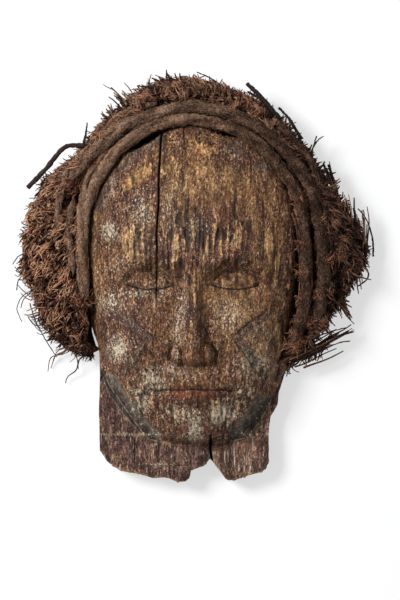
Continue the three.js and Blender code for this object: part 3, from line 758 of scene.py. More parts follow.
def woodFinish():
    wood = Finish("carved_wood", {"Specular IOR Level": 0.25})
    streaks = wood.grain((0.42, 0.11, 0.35), 6, 0.72, 0.7)
    fine = wood.grain((1.3, 0.5, 1), 4, 0.75, 0.5)
    specks = wood.grain((1.15, 0.95, 1.1), 4, 0.85)
    flecks = wood.grain((1.2, 0.7, 1.1), 3, 0.75)
    cakes = wood.grain((0.6, 0.42, 0.5), 5, 0.75)
    dashes = wood.grain((1.8, 0.12, 1.3), 3, 0.7)
    clouds = wood.grain((0.16, 0.09, 0.13), 3, 0.6)
    mottle = wood.grain((0.26, 0.12, 0.2), 6, 0.75, 0.6)
    plate, bandWithShade, layer = wood.layer("plate"), wood.layer("band"), wood.layer
    tone = 0.5 * fine + 0.52 * specks + 0.28 * streaks - 0.15
    tan, crust, ochre, grey, flesh, pale = (wood.ramp(tone, stops) for stops in woodTones.values())
    # The slate is painted lighter by the jaw and darker towards the collar's outer edge: painted highlight and shade
    # across the band's hollow.
    slate = wood.ramp(0.9 * tone + 0.45 - 0.44 * bandWithShade, [
        (0.35, (0.012, 0.012, 0.015)), (0.5, (0.036, 0.036, 0.041)), (0.7, (0.17, 0.155, 0.145))])
    covered = wood.band(streaks + 0.34 * (layer("crust") - 0.5) + 0.5 * (specks - 0.5), 0.45, 0.51)
    bareShare = wood.band(layer("bare") + 1.5 * (streaks - 0.5) + 0.9 * (fine - 0.5), 0.3, 0.5)
    sootShare = wood.band(layer("soot") + (clouds - 0.5) + 0.8 * (streaks - 0.5), 0.3, 0.7)
    ridgeShare = wood.band(layer("ridge") + 1.6 * (fine - 0.5), 0.35, 0.7)
    rustShare = wood.band(specks * 0.5 + flecks * 0.5 + 0.2 * layer("rust"), 0.55, 0.66)
    # Rubbed wear and painted highlight along the edges.
    wearAndHighlightShare = wood.band(layer("worn") + 0.9 * (fine - 0.5), 0.55, 0.95)
    colour = wood.coated(
        tan, (bareShare, ochre), (covered * (1 - 0.8 * bareShare), crust), (sootShare * 0.85, grey),
        (plate * (0.9 - 0.3 * bareShare), flesh), (ridgeShare * 0.8, pale),
        (rustShare * layer("rust"), (0.2, 0.056, 0.024)), (layer("strip") * 0.8, grey),
        (wood.band(bandWithShade, 0.15, 0.4) * 0.92, slate), (wearAndHighlightShare * 0.75, (0.33, 0.235, 0.16)),
    )
    colour = wood.tinted(colour, (1.1, 0.9, 1), 3, (1, 0.66, 0.48), (1, 0.93, 0.8), (0.9, 1, 0.8))
    shade = wood.ramp(mottle, [(0.41, (0.42, 0.35, 0.34)), (0.49, (0.92, 0.88, 0.86)), (0.58, (1, 1, 1))])
    colour = wood.blend(0.9, colour, shade, "MULTIPLY")
    # Last come the lit ridges, a film of earth, cakes of it, pale flakes, and painted shade in the pits, the splits
    # and the carved lines.
    lift = wood.band(mottle, 0.52, 0.62) * wood.band(tone, 0.44, 0.56)
    film = layer("chalk") * wood.band(specks + 0.5 * clouds, 0.55, 0.95)
    cakeShare = wood.band(cakes + 0.4 * (specks - 0.5) + 0.16 * layer("cakes"), 0.61, 0.645)
    cakeShare = cakeShare * wood.band(layer("cakes"), 0.1, 0.4)
    chalkNoise = flecks + plate * (dashes - flecks)
    chalkShare = wood.band(chalkNoise + 0.16 * layer("chalk") - 0.02 * plate, 0.62, 0.655)
    # Painted shade in the pits, checks and low relief.
    pitShadeShare = layer("low") * 0.8
    # Painted shade along the splits, the carved marks and the features' lines.
    cutShadeShare = layer("dark") * wood.band(abs(layer("line")), 0.75, 1.6, 1, 0)
    colour = wood.coated(
        colour, (lift * 0.4 * (1 - bandWithShade), pale), (film * 0.22, (0.46, 0.38, 0.28)),
        (cakeShare * 0.85, (0.56, 0.45, 0.31)),
        (chalkShare * (1 - 0.85 * layer("hidden")) * 0.85, (0.66, 0.57, 0.43)),
        (pitShadeShare, (0.018, 0.009, 0.007)), (cutShadeShare, (0.008, 0.005, 0.004)),
    )
    height = 0.5 * fine + 0.45 * specks + 0.3 * covered - 0.5 * pitShadeShare + 0.3 * cakeShare
    shine = wood.band(tone + 0.2 * chalkShare, 0.4, 0.65, 0.52, 0.82)
    return wood.done(Base_Color=colour, Roughness=shine, Normal=wood.bumps(height, 0.8, 1))


print("carving the wood")
addPiece("carved_mask", carveMask(), woodFinish(), ["wooden_mask"])


# Fibres, cords and locks are all tubes. A template tube is copied, then each copy's points follow a line.

fibrePoints = 5


def tubeTemplate(sides, rings):
    bm = bmesh.new()
    bmesh.ops.create_circle(bm, segments=sides, radius=1)
    edges = bm.edges[:]
    bmesh.ops.contextual_create(bm, geom=edges)
    bmesh.ops.contextual_create(bm, geom=extrudeRings(bm, edges, rings - 1))
    bmesh.ops.recalc_face_normals(bm, faces=bm.faces)
    return meshFrom(bm, "tube")


def copiedTubes(name, count, sides, rings):
    template = tubeTemplate(sides, rings)
    turn = readPoints(template)
    holder = linked("holder", template)
    array = holder.modifiers.new("copies", "ARRAY")
    array.count = count
    array.use_relative_offset = False
    array.use_constant_offset = True
    array.constant_offset_displace = (0, 0, 0)
    graph = bpy.context.evaluated_depsgraph_get()
    mesh = bpy.data.meshes.new_from_object(holder.evaluated_get(graph))
    mesh.name = name
    bpy.data.objects.remove(holder)
    return mesh, turn


def ringNumbers(turn):
    return np.round(turn[:, 2]).astype(int)


def unit(vectors):
    return vectors / np.maximum(np.linalg.norm(vectors, axis=-1, keepdims=True), 1e-9)


def tubePoints(lines, radii, turn, flat=1):
    # lines holds the points of every tube, one row each, and radii the radius at each point.
    along = unit(np.gradient(lines, axis=1))
    guide = np.where(np.abs(along[..., 2:3]) > 0.9, (1, 0, 0), (0, 0, 1))
    right = unit(np.cross(along, guide))
    over = np.cross(right, along)
    ring = ringNumbers(turn)
    across, up = turn[:, 0][None, :, None], turn[:, 1][None, :, None] * flat
    return lines[:, ring] + radii[:, ring, None] * (right[:, ring] * across + over[:, ring] * up)


def manyTubes(name, lines, radii, sides, tints, flat=1):
    count, rings = lines.shape[:2]
    mesh, turn = copiedTubes(name, count, sides, rings)
    placePoints(mesh, tubePoints(lines, radii, turn, flat).reshape(-1, 3))
    tints = np.broadcast_to(np.asarray(tints, float).reshape(count, -1), (count, rings))
    paintLayer(mesh, "tint", tints[:, ringNumbers(turn)])
    return mesh


def feltedTube(name, line, radius, sides, lobes, pitch, seed):
    # A lumpy rope of matted fibre, with its strands just showing as soft turning lobes.
    mesh, turn = copiedTubes(name, 1, sides, len(line))
    ring = ringNumbers(turn)
    angle = np.arctan2(turn[:, 1], turn[:, 0])
    axis = line[ring]
    plain = tubePoints(line[None], radius[None], turn)[0]
    groove = (0.5 - 0.5 * np.cos(lobes * angle - 2 * np.pi * lengthAlong(line)[ring] / pitch)) ** 2
    swell = 0.17 * noiseAt(plain, 0.16, seed) + 0.16 * noiseAt(plain, 0.42, seed + 1)
    grit = 0.19 * noiseAt(plain, 0.95, seed + 2)
    size = 1.03 - 0.17 * groove + swell + grit
    placePoints(mesh, axis + (plain - axis) * size[:, None])
    # The tint is darker in the grooves and lighter where the rope swells: painted shade and light following its
    # relief.
    paintLayer(mesh, "tint", np.clip(0.55 - 0.35 * groove + 1.2 * swell + 2 * grit, 0, 1))
    return mesh


def fuzzOn(name, line, radius, count, seed, length=(3, 8), thick=0.17):
    # Loose fibres lying along a cord, a few of them standing off it.
    rng = np.random.default_rng(seed)
    steps, last = np.arange(len(line)), len(line) - 1
    share = np.linspace(0, 1, fibrePoints)
    place = rng.uniform(0, last, count)[:, None]
    perStep = np.linalg.norm(line[1] - line[0])
    place = place + share * rng.uniform(*length, (count, 1)) / perStep * rng.choice([-1, 1], (count, 1))
    place = np.clip(place, 0, last)
    middle = pointsAt(place, steps, line)
    right = pointsAt(place, steps, np.cross(unit(np.gradient(line, axis=0)), (0, 0, 1)))
    size = np.interp(place, steps, radius)
    angle = rng.uniform(-0.4, np.pi + 0.4, (count, 1)) + share * rng.normal(0, 0.8, (count, 1))
    off = size * (0.93 + share * rng.uniform(0, 1, (count, 1)) ** 3 * 0.6)
    points = middle + right * (np.cos(angle) * off)[..., None] + np.multiply.outer(np.sin(angle) * off, (0, 0, 1))
    thin = rng.uniform(0.7, 1.2, (count, 1)) * thick * (1.1 - 0.8 * share)
    return manyTubes(name, points, thin, 3, rng.uniform(0.2, 1, count))


# The two cords round the face

cords = {
    "inner_cord": {
        "stops": [(198, 4.6), (182, 3.5), (165, 2.9), (150, 2.5), (130, 3.1), (110, 3.3), (90, 3.1), (65, 2.2),
                  (45, 2.2), (20, 3.3), (0, 3.6), (-13, 5.8), (-22, 6.4), (-31, 5.6)],
        "height": 23.5, "half": 2.95, "lobes": 3, "pitch": 30, "fuzz": 1000, "seed": 30,
        "colours": ((0.018, 0.009, 0.006), (0.135, 0.076, 0.048), (0.42, 0.29, 0.21)),
    },
    "outer_cord": {
        "stops": [(156, 14.6), (147, 12.4), (135, 10.4), (120, 10.1), (90, 9.4), (65, 8.7), (45, 9), (25, 10.8),
                  (5, 11), (-10, 14), (-18, 14.4), (-24, 13.9)],
        "height": 23.4, "half": 2.95, "lobes": 2, "pitch": 24, "fuzz": 1100, "seed": 40,
        "colours": ((0.016, 0.009, 0.006), (0.115, 0.066, 0.044), (0.38, 0.265, 0.2)),
    },
}
cordSides, cordRings = 20, 560


def cordMesh(name, cord):
    stops = [(*besideEgg(degrees, offset), cord["height"]) for degrees, offset in cord["stops"]]
    line = evenLine(stops, cordRings)
    line[:, :2] += 0.3 * noiseAt(line, 0.05, cord["seed"])[:, None]
    ends = np.minimum(np.arange(cordRings), np.arange(cordRings)[::-1]) / 26
    radius = cord["half"] * np.minimum(1, 0.35 + 0.65 * np.sqrt(np.clip(ends, 0, 1)))
    felt = feltedTube("felt", line, radius, cordSides, cord["lobes"], cord["pitch"], cord["seed"])
    return joined(name, [felt, fuzzOn("fuzz", line, radius, cord["fuzz"], cord["seed"])])


def feltFinish(name, dark, middle, light):
    # Lighter on the left of the crown, darker and redder down the right: painted shade on the side away from the key
    # light.
    fibre = Finish(name, {"Roughness": 0.93, "Specular IOR Level": 0.15})
    grit, patches = fibre.grain(1.7, 4, 0.8), fibre.grain(0.12, 3, 0.6)
    across = fibre.node("ShaderNodeSeparateXYZ", {}, {0: fibre.place})
    # Painted shade: darker wherever X runs past the middle to the right.
    shade = fibre.band(across, -0.03, 0.06, 0, 0.21)
    colour = fibre.ramp(0.3 * fibre.layer("tint") + 1.5 * grit + 0.35 * patches - 0.54 - shade,
                        [(0.25, dark), (0.47, middle), (0.75, light)])
    colour = fibre.tinted(colour, 0.9, 3, (1, 0.7, 0.56), (0.97, 0.92, 0.88), (0.9, 1, 0.95))
    return fibre.done(Base_Color=colour, Normal=fibre.bumps(grit, 0.7, 0.9))


print("felting the cords")
for cordName, cord in cords.items():
    finish = feltFinish(cordName.replace("cord", "fibre"), *cord["colours"])
    addPiece("twisted_" + cordName, cordMesh(cordName, cord), finish, [cordName])


# The wig: a matted body, clumps of fibre lying on it, locks, tufts round its edge and stiff stems

wigEdge = [
    (-53, -37), (-66, -32), (-75, -22), (-80, -8), (-85, 6), (-84.5, 24), (-80.5, 41), (-71, 54), (-57.5, 64.5),
    (-45, 77.5), (-31, 91), (-16, 98), (0, 100), (15, 97), (28.5, 90.5), (42, 79.5), (52.5, 66.5), (61.5, 54),
    (69.5, 41.5), (80.5, 27), (84.5, 12), (78, -3), (68, -16), (60.5, -27), (51, -36), (43, -42),
]
wig = {
    "fromDegrees": 213, "toDegrees": -45, "tuck": 3, "clear": 8, "endShrink": 0.5, "length": 380,
    "profile": [(0, 20.6), (0.3, 23.3), (0.72, 20.3), (1, 11), (0.98, 4.5), (0.8, 2.3)],
    "matRings": 220, "matSides": 28, "matSink": 1.7, "topShare": 0.72, "slope": 16,
}


def bedReach(degrees):
    # How far out the fibre lies low, under the cords.
    reach = np.zeros(degrees.shape)
    for cord in cords.values():
        stops = np.array(cord["stops"])[::-1]
        near = np.interp(degrees, stops[:, 0], stops[:, 1]) + cord["half"] + 0.2
        reach = np.maximum(reach, near * between(degrees, stops[0, 0], stops[-1, 0], 7))
    return reach


def wigBasis(share):
    degrees = mix(wig["fromDegrees"], wig["toDegrees"], share)
    # At the left end the fibre lies clear of the wood, whose narrow strip shows beside the jaw.
    clear = wig["clear"] * (1 - smooth(share, 0.02, 0.07))
    startX, startY = besideEgg(degrees, clear - wig["tuck"])
    outer = alongSpline(wigEdge, share)
    outX, outY = outer[..., 0] - startX, outer[..., 1] - startY
    width = np.hypot(outX, outY)
    bed = np.minimum(bedReach(degrees) + wig["tuck"], width - 2)
    tall = mix(wig["endShrink"], 1, np.clip(np.minimum(share, 1 - share) * 12, 0, 1))
    return startX, startY, outX / width, outY / width, width, bed, tall


def wigSurface(share, across, lift):
    # across runs from the cords, 0, over the crest to the outer lower edge, 1, and below 0 it is the bed.
    startX, startY, outX, outY, width, bed, tall = wigBasis(share)
    steps = np.linspace(0, 1, 81)
    table = alongSpline(wig["profile"], steps)
    columns = (*table.T, *np.gradient(table, axis=0).T)
    out, z, leanOut, leanUp = (np.interp(across, steps, column) for column in columns)
    leanOut = leanOut * (width - bed)
    size = np.hypot(leanOut, leanUp)
    inward = np.minimum(across, 0)
    reach = bed + out * (width - bed) - leanUp / size * lift + inward * (bed - 1)
    return np.stack([startX + outX * reach, startY + outY * reach, z * tall + leanOut / size * lift], axis=-1)


def slidOnWig(share, across, alongMove, outMove):
    # A place on the wig, moved by millimetres along it and outwards.
    width, bed = wigBasis(share)[4:6]
    share = np.clip(share + alongMove / wig["length"], 0, 1)
    return share, np.clip(across + outMove / (width - bed + wig["slope"]), -0.9, 1)


def waves(rng, step, count):
    return np.sin(step * rng.uniform(3, 9, (count, 1)) + rng.uniform(0, 6, (count, 1)))


def lumps(points):
    holes = smooth(noiseAt(points, 0.15, 24), 0.08, 0.3)
    return 1.8 * noiseAt(points, 0.1, 21) + 1.7 * noiseAt(points, 0.26, 22) - 2.6 * holes


def matMesh():
    rings, sides = wig["matRings"], wig["matSides"]
    mesh, turn = copiedTubes("mat", 1, sides, rings)
    share = turn[:, 2] / (rings - 1)
    angle = np.arctan2(turn[:, 1], turn[:, 0]) / (2 * np.pi) % 1
    startX, startY, outX, outY, _, _, tall = wigBasis(share)
    topShare = wig["topShare"]
    across = np.clip((topShare - angle) / topShare, 0, 1)
    top = wigSurface(share, across, 0)
    top = wigSurface(share, across, lumps(top) - wig["matSink"])
    # The rest of the ring closes the underside and the bed under the cords.
    under = (angle - topShare) / (1 - topShare)
    lowest = wigSurface(share, 0 * share + 1, -wig["matSink"])
    reachOut = (lowest[:, 0] - startX) * outX + (lowest[:, 1] - startY) * outY
    stops = [0, 0.12, 0.35, 0.65, 1]
    reach = np.interp(under, stops, [0, 0, 0, 0.6, 1]) * reachOut
    height = np.interp(under, stops, [19.6, 10, 1.2, 1.2, 1.8]) * tall
    below = np.stack([startX + outX * reach, startY + outY * reach, height], axis=-1)
    placePoints(mesh, np.where((angle > topShare)[:, None], below, top))
    paintLayer(mesh, "tint", 0.3 + 0.4 * noiseAt(top, 0.8, 23))
    bm = bmesh.new()
    bm.from_mesh(mesh)
    bmesh.ops.recalc_face_normals(bm, faces=bm.faces)
    bm.to_mesh(mesh)
    bm.free()
    return mesh


# Each stretch of fibres: where along the wig, how many clumps and fibres in each, and the way they lie.
fibreStretches = {
    "wig_fibres_left": {
        "from": 0, "to": 0.37, "clumps": 940, "each": 6, "length": (2.8, 8), "along": -0.5, "out": 0.6,
        "turns": 1.6, "spread": 0.8, "width": 1.2, "curl": 2, "radius": (0.19, 0.48), "seed": 11,
    },
    "wig_fibres_crown": {
        "from": 0.35, "to": 0.62, "clumps": 500, "each": 10, "length": (4, 10), "along": -0.9, "out": 0.45,
        "turns": 0.55, "spread": 0.45, "width": 1.3, "curl": 1, "radius": (0.24, 0.5), "seed": 12,
    },
    "wig_fibres_right": {
        "from": 0.6, "to": 1, "clumps": 600, "each": 9, "length": (4, 10), "along": 0.85, "out": 0.35,
        "turns": 0.7, "spread": 0.5, "width": 1.4, "curl": 1.2, "radius": (0.26, 0.56), "seed": 13,
    },
}


def perClump(values, each):
    return np.repeat(values, each)[:, None]


def clumpedFibres(name, stretch):
    rng = np.random.default_rng(stretch["seed"])
    clumps, each = stretch["clumps"], stretch["each"]
    count = clumps * each
    share = perClump(rng.uniform(stretch["from"], stretch["to"], clumps), each)
    across = perClump(rng.uniform(-0.25, 1, clumps), each)
    heading = perClump(np.arctan2(stretch["out"], stretch["along"]) + rng.normal(0, stretch["turns"], clumps), each)
    size = perClump(rng.uniform(0.6, 1.25, clumps), each)
    height = perClump(rng.normal(-0.1, 0.8, clumps), each)
    tone = perClump(rng.uniform(0, 1, clumps), each)
    bend = perClump(rng.normal(0, stretch["curl"], clumps), each)
    bend = bend + rng.normal(0, 0.3 * stretch["curl"], (count, 1))

    length = size * rng.uniform(*stretch["length"], (count, 1))
    heading = heading + rng.normal(0, stretch["spread"], (count, 1))
    sideways = rng.normal(0, stretch["width"], (count, 1)) * size
    slid = rng.normal(0, 1.4, (count, 1))
    step = np.linspace(0, 1, fibrePoints)[None]
    wave = 0.05 * length * waves(rng, step, count)
    ahead = slid + length * (step - 0.4)
    aside = sideways * (1 - 0.5 * step) + wave + 0.35 * length * bend * (step - 0.3) ** 2
    alongMove = ahead * np.cos(heading) - aside * np.sin(heading)
    outMove = ahead * np.sin(heading) + aside * np.cos(heading)
    share, across = slidOnWig(share, across, alongMove, outMove)
    low = wigSurface(share, across, 0)
    rise = step ** 1.5 * rng.uniform(-0.8, 2.6, (count, 1)) - 0.6 * (1 - step)
    lift = lumps(low) + height + rng.uniform(-0.9, 0.5, (count, 1)) + rise
    lift = np.where(across < 0, np.minimum(lift, 1.2), lift)
    points = wigSurface(share, across, lift)
    radii = rng.uniform(*stretch["radius"], (count, 1)) * np.interp(step, [0, 0.3, 0.8, 1], [0.8, 1, 0.8, 0.35])
    points[..., 2] = np.maximum(points[..., 2], radii + 0.2)
    tint = 0.07 + 0.38 * tone + 0.55 * rng.uniform(0, 1, (count, 1)) ** 1.6
    # Fibres lying higher, and those on lumps, are painted lighter and low ones darker: painted shade in the gaps
    # between them.
    tint = tint + 0.13 * (height + rise) + 0.13 * lumps(low)
    tint = tint - 0.3 * smooth(-points[..., 1], 14, 32) * (points[..., 0] < 0)
    return manyTubes(name, points, radii, 3, np.clip(tint, 0, 1))


# What stands out past the wig's edge: fine tufts all round, and thick cut strands in a few places.
tuftKinds = {
    "wig_tufts": {
        "from": 0, "to": 1, "clumps": 400, "each": 7, "length": (1.5, 6.5), "radius": (0.22, 0.46),
        "across": (0.5, 0.95), "turns": 0.5, "spread": 0.35, "slide": 0.0035, "seed": 17,
    },
    "wig_strands_crown": {
        "from": 0.33, "to": 0.47, "clumps": 46, "each": 5, "length": (4, 9), "radius": (0.36, 0.62),
        "across": (0.35, 0.9), "turns": 0.25, "spread": 0.16, "slide": 0.005, "seed": 27,
    },
    "wig_strands_right": {
        "from": 0.6, "to": 0.93, "clumps": 120, "each": 5, "length": (4, 9.5), "radius": (0.34, 0.64),
        "across": (0.3, 0.95), "turns": 0.45, "spread": 0.25, "slide": 0.005, "seed": 37,
    },
}

# How tufts lean, by their share of the wig's length: down on the left, up over the crown, down on the right.
tuftLean = [
    (0, -1), (0.15, -0.5), (0.3, -0.4), (0.36, -0.7), (0.5, -1.1), (0.6, -0.5), (0.66, -0.7), (0.74, 0.2),
    (0.85, 0.9), (1, 1.1),
]


def edgeTufts(tufts):
    rng = np.random.default_rng(tufts["seed"])
    clumps, each = tufts["clumps"], tufts["each"]
    count = clumps * each
    share = perClump(rng.uniform(tufts["from"], tufts["to"], clumps), each)
    across = perClump(rng.uniform(*tufts["across"], clumps), each)
    lean = np.interp(share, *zip(*tuftLean)) + perClump(rng.normal(0, tufts["turns"], clumps), each)
    lean = lean + rng.normal(0, tufts["spread"], (count, 1))
    reach = perClump(rng.uniform(0, 1, clumps) ** 2, each)
    length = mix(*tufts["length"], reach) * rng.uniform(0.5, 1.15, (count, 1))
    share = share + rng.normal(0, tufts["slide"], (count, 1))
    root = wigSurface(share, across, 0)
    root = wigSurface(share, across, lumps(root) - 0.8)
    outX, outY = wigBasis(share)[2:4]
    dirX = outX * np.cos(lean) + outY * np.sin(lean)
    dirY = outY * np.cos(lean) - outX * np.sin(lean)
    step = np.linspace(0, 1, fibrePoints)[None]
    curl = rng.normal(0, 0.3, (count, 1)) * length * step ** 2
    bend = curl + 0.25 * waves(rng, step, count) * step
    x = root[..., 0] + dirX * length * step - dirY * bend
    y = root[..., 1] + dirY * length * step + dirX * bend
    z = root[..., 2] + length * step * rng.uniform(-0.3, 0.4, (count, 1)) - 0.05 * length * step ** 2
    radii = rng.uniform(*tufts["radius"], (count, 1)) * np.interp(step, [0, 0.7, 1], [1, 0.9, 0.6])
    points = np.stack([x, y, np.maximum(z, 0.6)], axis=-1)
    return manyTubes("tufts", points, radii, 3, rng.uniform(0, 0.75, count))


# Combed bundles of long fibre: the path, how many fibres, how far apart and how thick.
bundles = {
    "seed": 80, "points": 12,
    "lines": [
        ([(45, -42, 12), (57, -37, 13), (68, -31.5, 12), (80, -25, 9)], 20, 3.4, 0.5),
        ([(62, -4, 15), (71, -10, 12), (77, -20, 8)], 12, 3.4, 0.45),
        ([(76, 12, 13), (81, 4, 11), (82, -6, 8)], 10, 3.2, 0.45),
        ([(-70, 2, 17), (-80, 5, 14), (-86, 2, 10), (-91, 6, 7)], 9, 5, 0.5),
        ([(-66, -12, 16), (-77, -8, 13), (-84, -10, 10), (-91, -4, 6)], 11, 5, 0.5),
        ([(-62, -22, 13), (-72, -20, 10), (-80, -22, 7), (-85, -16, 5)], 9, 5, 0.46),
        ([(-60, -28, 12), (-63, -34, 8), (-68, -37, 6), (-70, -43, 4)], 8, 5, 0.46),
        ([(71, 28, 15), (68, 43, 16), (63.5, 57, 14)], 20, 4.2, 0.6),
        ([(77, 20, 14), (76, 33, 14), (73.5, 45, 12)], 16, 3.6, 0.58),
        ([(82, 8, 12), (83.5, 22, 12), (82, 36, 10)], 12, 3, 0.5),
        ([(-30, 84, 20), (-35, 91, 17), (-41, 96, 13)], 16, 6, 0.5),
        ([(49.5, 36, 24), (52.4, 25, 24), (54, 10, 24), (54.3, -2, 24), (53, -16, 24), (50, -28, 23)], 60, 1.6, 0.42),
    ],
    "fringe": {
        "from": (44, -43.5), "to": (66, -32), "count": 60, "length": (3, 6.5), "heading": -1.85, "thick": 0.42},
}


def bundleFibres():
    rng = np.random.default_rng(bundles["seed"])
    steps, fine = bundles["points"], np.arange(60)
    lines, radii = [], []
    for stops, count, spread, thick in bundles["lines"]:
        path = evenLine(stops, len(fine))
        for _ in range(count):
            start, stop = rng.uniform(0, 0.35), rng.uniform(0.6, 1)
            line = pointsAt(np.linspace(start, stop, steps) * fine[-1], fine, path)
            line[:, :2] += rng.normal(0, spread * 0.5, 2) * np.linspace(1, 1.3, steps)[:, None]
            line[:, 2] += rng.normal(0, spread * 0.4)
            wave = np.sin(np.linspace(0, 1, steps) * rng.uniform(4, 10) + rng.uniform(0, 6))
            line += 0.3 * wave[:, None] * rng.normal(0, 1, 3)
            lines.append(line)
            radii.append(thick * rng.uniform(0.6, 1.2) * np.linspace(1, 0.55, steps))
    fringe = bundles["fringe"]
    for _ in range(fringe["count"]):
        share = rng.uniform(0, 1)
        root = [mix(a, b, share) + rng.normal(0, 0.8) for a, b in zip(fringe["from"], fringe["to"])]
        heading = fringe["heading"] + rng.normal(0, 0.35)
        far = rng.uniform(*fringe["length"]) * np.linspace(-0.3, 1, steps)
        bend = heading + rng.normal(0, 0.5) * np.linspace(0, 1, steps)
        x, y = root[0] + np.cos(bend) * far, root[1] + np.sin(bend) * far
        lines.append(np.stack([x, y, 10 - 0.6 * np.abs(far)], axis=1))
        radii.append(fringe["thick"] * rng.uniform(0.7, 1.2) * np.linspace(1, 0.6, steps))
    return manyTubes("bundles", np.array(lines), np.array(radii), 5, rng.uniform(0, 0.9, len(lines)))


# Papery flecks: short flat curls of torn fibre, most of them on the left.
flecks = {"count": 700, "length": (1.5, 3.6), "radius": (0.35, 0.7), "flat": 0.3, "seed": 18}


def paperyFlecks():
    rng = np.random.default_rng(flecks["seed"])
    count = flecks["count"]
    nearEdge = rng.uniform(0, 1, count) < 0.9
    share = np.where(nearEdge, rng.uniform(0.02, 0.36, count), rng.uniform(0.36, 0.6, count))[:, None]
    across = rng.uniform(-0.1, 0.9, (count, 1))
    heading = rng.uniform(0, 2 * np.pi, (count, 1))
    length = rng.uniform(*flecks["length"], (count, 1))
    step = np.linspace(-0.5, 0.5, 6)[None]
    turn = heading + rng.normal(0, 0.4, (count, 1)) * step
    share, across = slidOnWig(share, across, length * step * np.cos(turn), length * step * np.sin(turn))
    low = wigSurface(share, across, 0)
    lift = lumps(low) + rng.uniform(0, 1.1, (count, 1)) + 1.2 * rng.uniform(-1, 1, (count, 1)) * step
    points = wigSurface(share, across, lift)
    radii = rng.uniform(*flecks["radius"], (count, 1)) * np.interp(step, [-0.5, 0, 0.5], [0.5, 1, 0.3])
    return manyTubes("flecks", points, radii, 4, rng.uniform(0.3, 1, count), flecks["flat"])


# Loose fibres over the cords' ends, and a curly patch on the right: place, spread and count.
covers = {
    "places": [
        ((63, 30), 4, 60, 26.6), ((65, 10), 4, 60, 26.6), ((62, -8), 4, 60, 26.6), ((-52, 60), 5, 60, 26.8),
        ((-57, -10), 5, 110, 26.4), ((-61, 47), 5, 90, 26), ((50, -32), 4.5, 90, 26.2), ((58, -21), 4, 80, 26.4),
        ((52.5, 40), 4.5, 180, 27), ((52, 30), 3, 80, 25), ((53.5, 18), 3, 70, 26.2),
        ((54.2, 4), 3, 70, 26.2), ((54, -9), 3, 80, 26.2),
        ((52.5, -20), 3, 80, 26.2), ((50.5, -27), 3, 50, 25.5),
    ],
    "length": (3, 8), "radius": (0.24, 0.46), "curl": 1.8, "fall": 4, "seed": 70,
}


def coverFibres():
    rng = np.random.default_rng(covers["seed"])
    middles, spreads, counts, heights = zip(*covers["places"])
    place = np.repeat(np.array(middles, float), counts, axis=0)
    spread, crest = np.repeat(np.array(spreads, float), counts), np.repeat(np.array(heights, float), counts)
    count = len(place)
    root = place + rng.normal(0, 0.5, (count, 2)) * spread[:, None]
    heading = np.arctan2(-place[:, 0], place[:, 1] - head["widestY"]) + rng.normal(0, 0.8, count)
    step = np.linspace(-0.5, 0.5, 7)[None]
    length = rng.uniform(*covers["length"], (count, 1))
    turn = heading[:, None] + rng.normal(0, covers["curl"], (count, 1)) * step
    turn = turn + 0.5 * np.sin(9 * step + rng.uniform(0, 6, (count, 1)))
    moveX, moveY = np.cumsum(np.cos(turn), axis=1), np.cumsum(np.sin(turn), axis=1)
    x = root[:, :1] + (moveX - moveX[:, 3:4]) * length / 7
    y = root[:, 1:] + (moveY - moveY[:, 3:4]) * length / 7
    away = np.hypot(root[:, 0] - place[:, 0], root[:, 1] - place[:, 1]) / spread
    top = (crest - covers["fall"] * np.clip(away, 0, 1))[:, None]
    z = top + rng.uniform(-1.2, 0.6, (count, 1)) - 4 * step ** 2 * rng.uniform(0.2, 1, (count, 1))
    radii = rng.uniform(*covers["radius"], (count, 1)) * (1 - 1.2 * step ** 2)
    return manyTubes("covers", np.stack([x, y, z], axis=-1), radii, 3, rng.uniform(0, 1, count))


# Matted locks lying along the cords: their points and their radius.
locks = {
    "sides": 14, "rings": 110, "fuzz": 130, "seed": 60,
    "lines": [
        ([(-43, 66, 22.5), (-50, 57, 23), (-54.5, 46, 23), (-57, 35, 22.5), (-58, 24, 21.5)], 1.7),
        ([(-53, 66, 20), (-61, 57, 21), (-66, 47, 21.5), (-69, 36, 20.5)], 1.6),
        ([(-63, 57, 22), (-66.5, 45, 22.8), (-68.5, 33, 22.5), (-67, 21, 21.5)], 1.7),
        ([(-60.5, 40, 23), (-62.5, 28, 23.4), (-62, 15, 23), (-60.5, 3, 22.5)], 1.6),
        ([(-47, 73, 20), (-40, 80, 21.5), (-30, 85.5, 22), (-19, 88, 22)], 1.5),
        ([(38, 80, 21), (48, 71, 22), (57, 60, 22.5), (62, 47, 22.5)], 1.5),
        ([(59, 45, 22.5), (64, 35, 22.5), (67, 22, 22), (67.5, 8, 21)], 1.5),
        ([(-56, 12, 22), (-57.5, 0, 21.5), (-57, -10, 20), (-58.5, -20, 18)], 1.5),
    ],
}


def lockMesh():
    made = []
    for number, (stops, radius) in enumerate(locks["lines"]):
        line = evenLine(stops, locks["rings"])
        wander = [noiseAt(line, 0.12, locks["seed"] + number + offset) for offset in (0, 20, 40)]
        line += 0.5 * np.stack(wander, axis=1)
        share = np.linspace(0, 1, locks["rings"])
        thick = radius * np.clip(3.2 * np.sqrt(share * (1 - share)), 0.25, 1)
        made.append(feltedTube("lock", line, thick, locks["sides"], 2, 16, locks["seed"] + 3 * number))
        made.append(fuzzOn("lockFuzz", line, thick, locks["fuzz"], locks["seed"] + number, (3, 7), 0.2))
    return joined("locks", made)


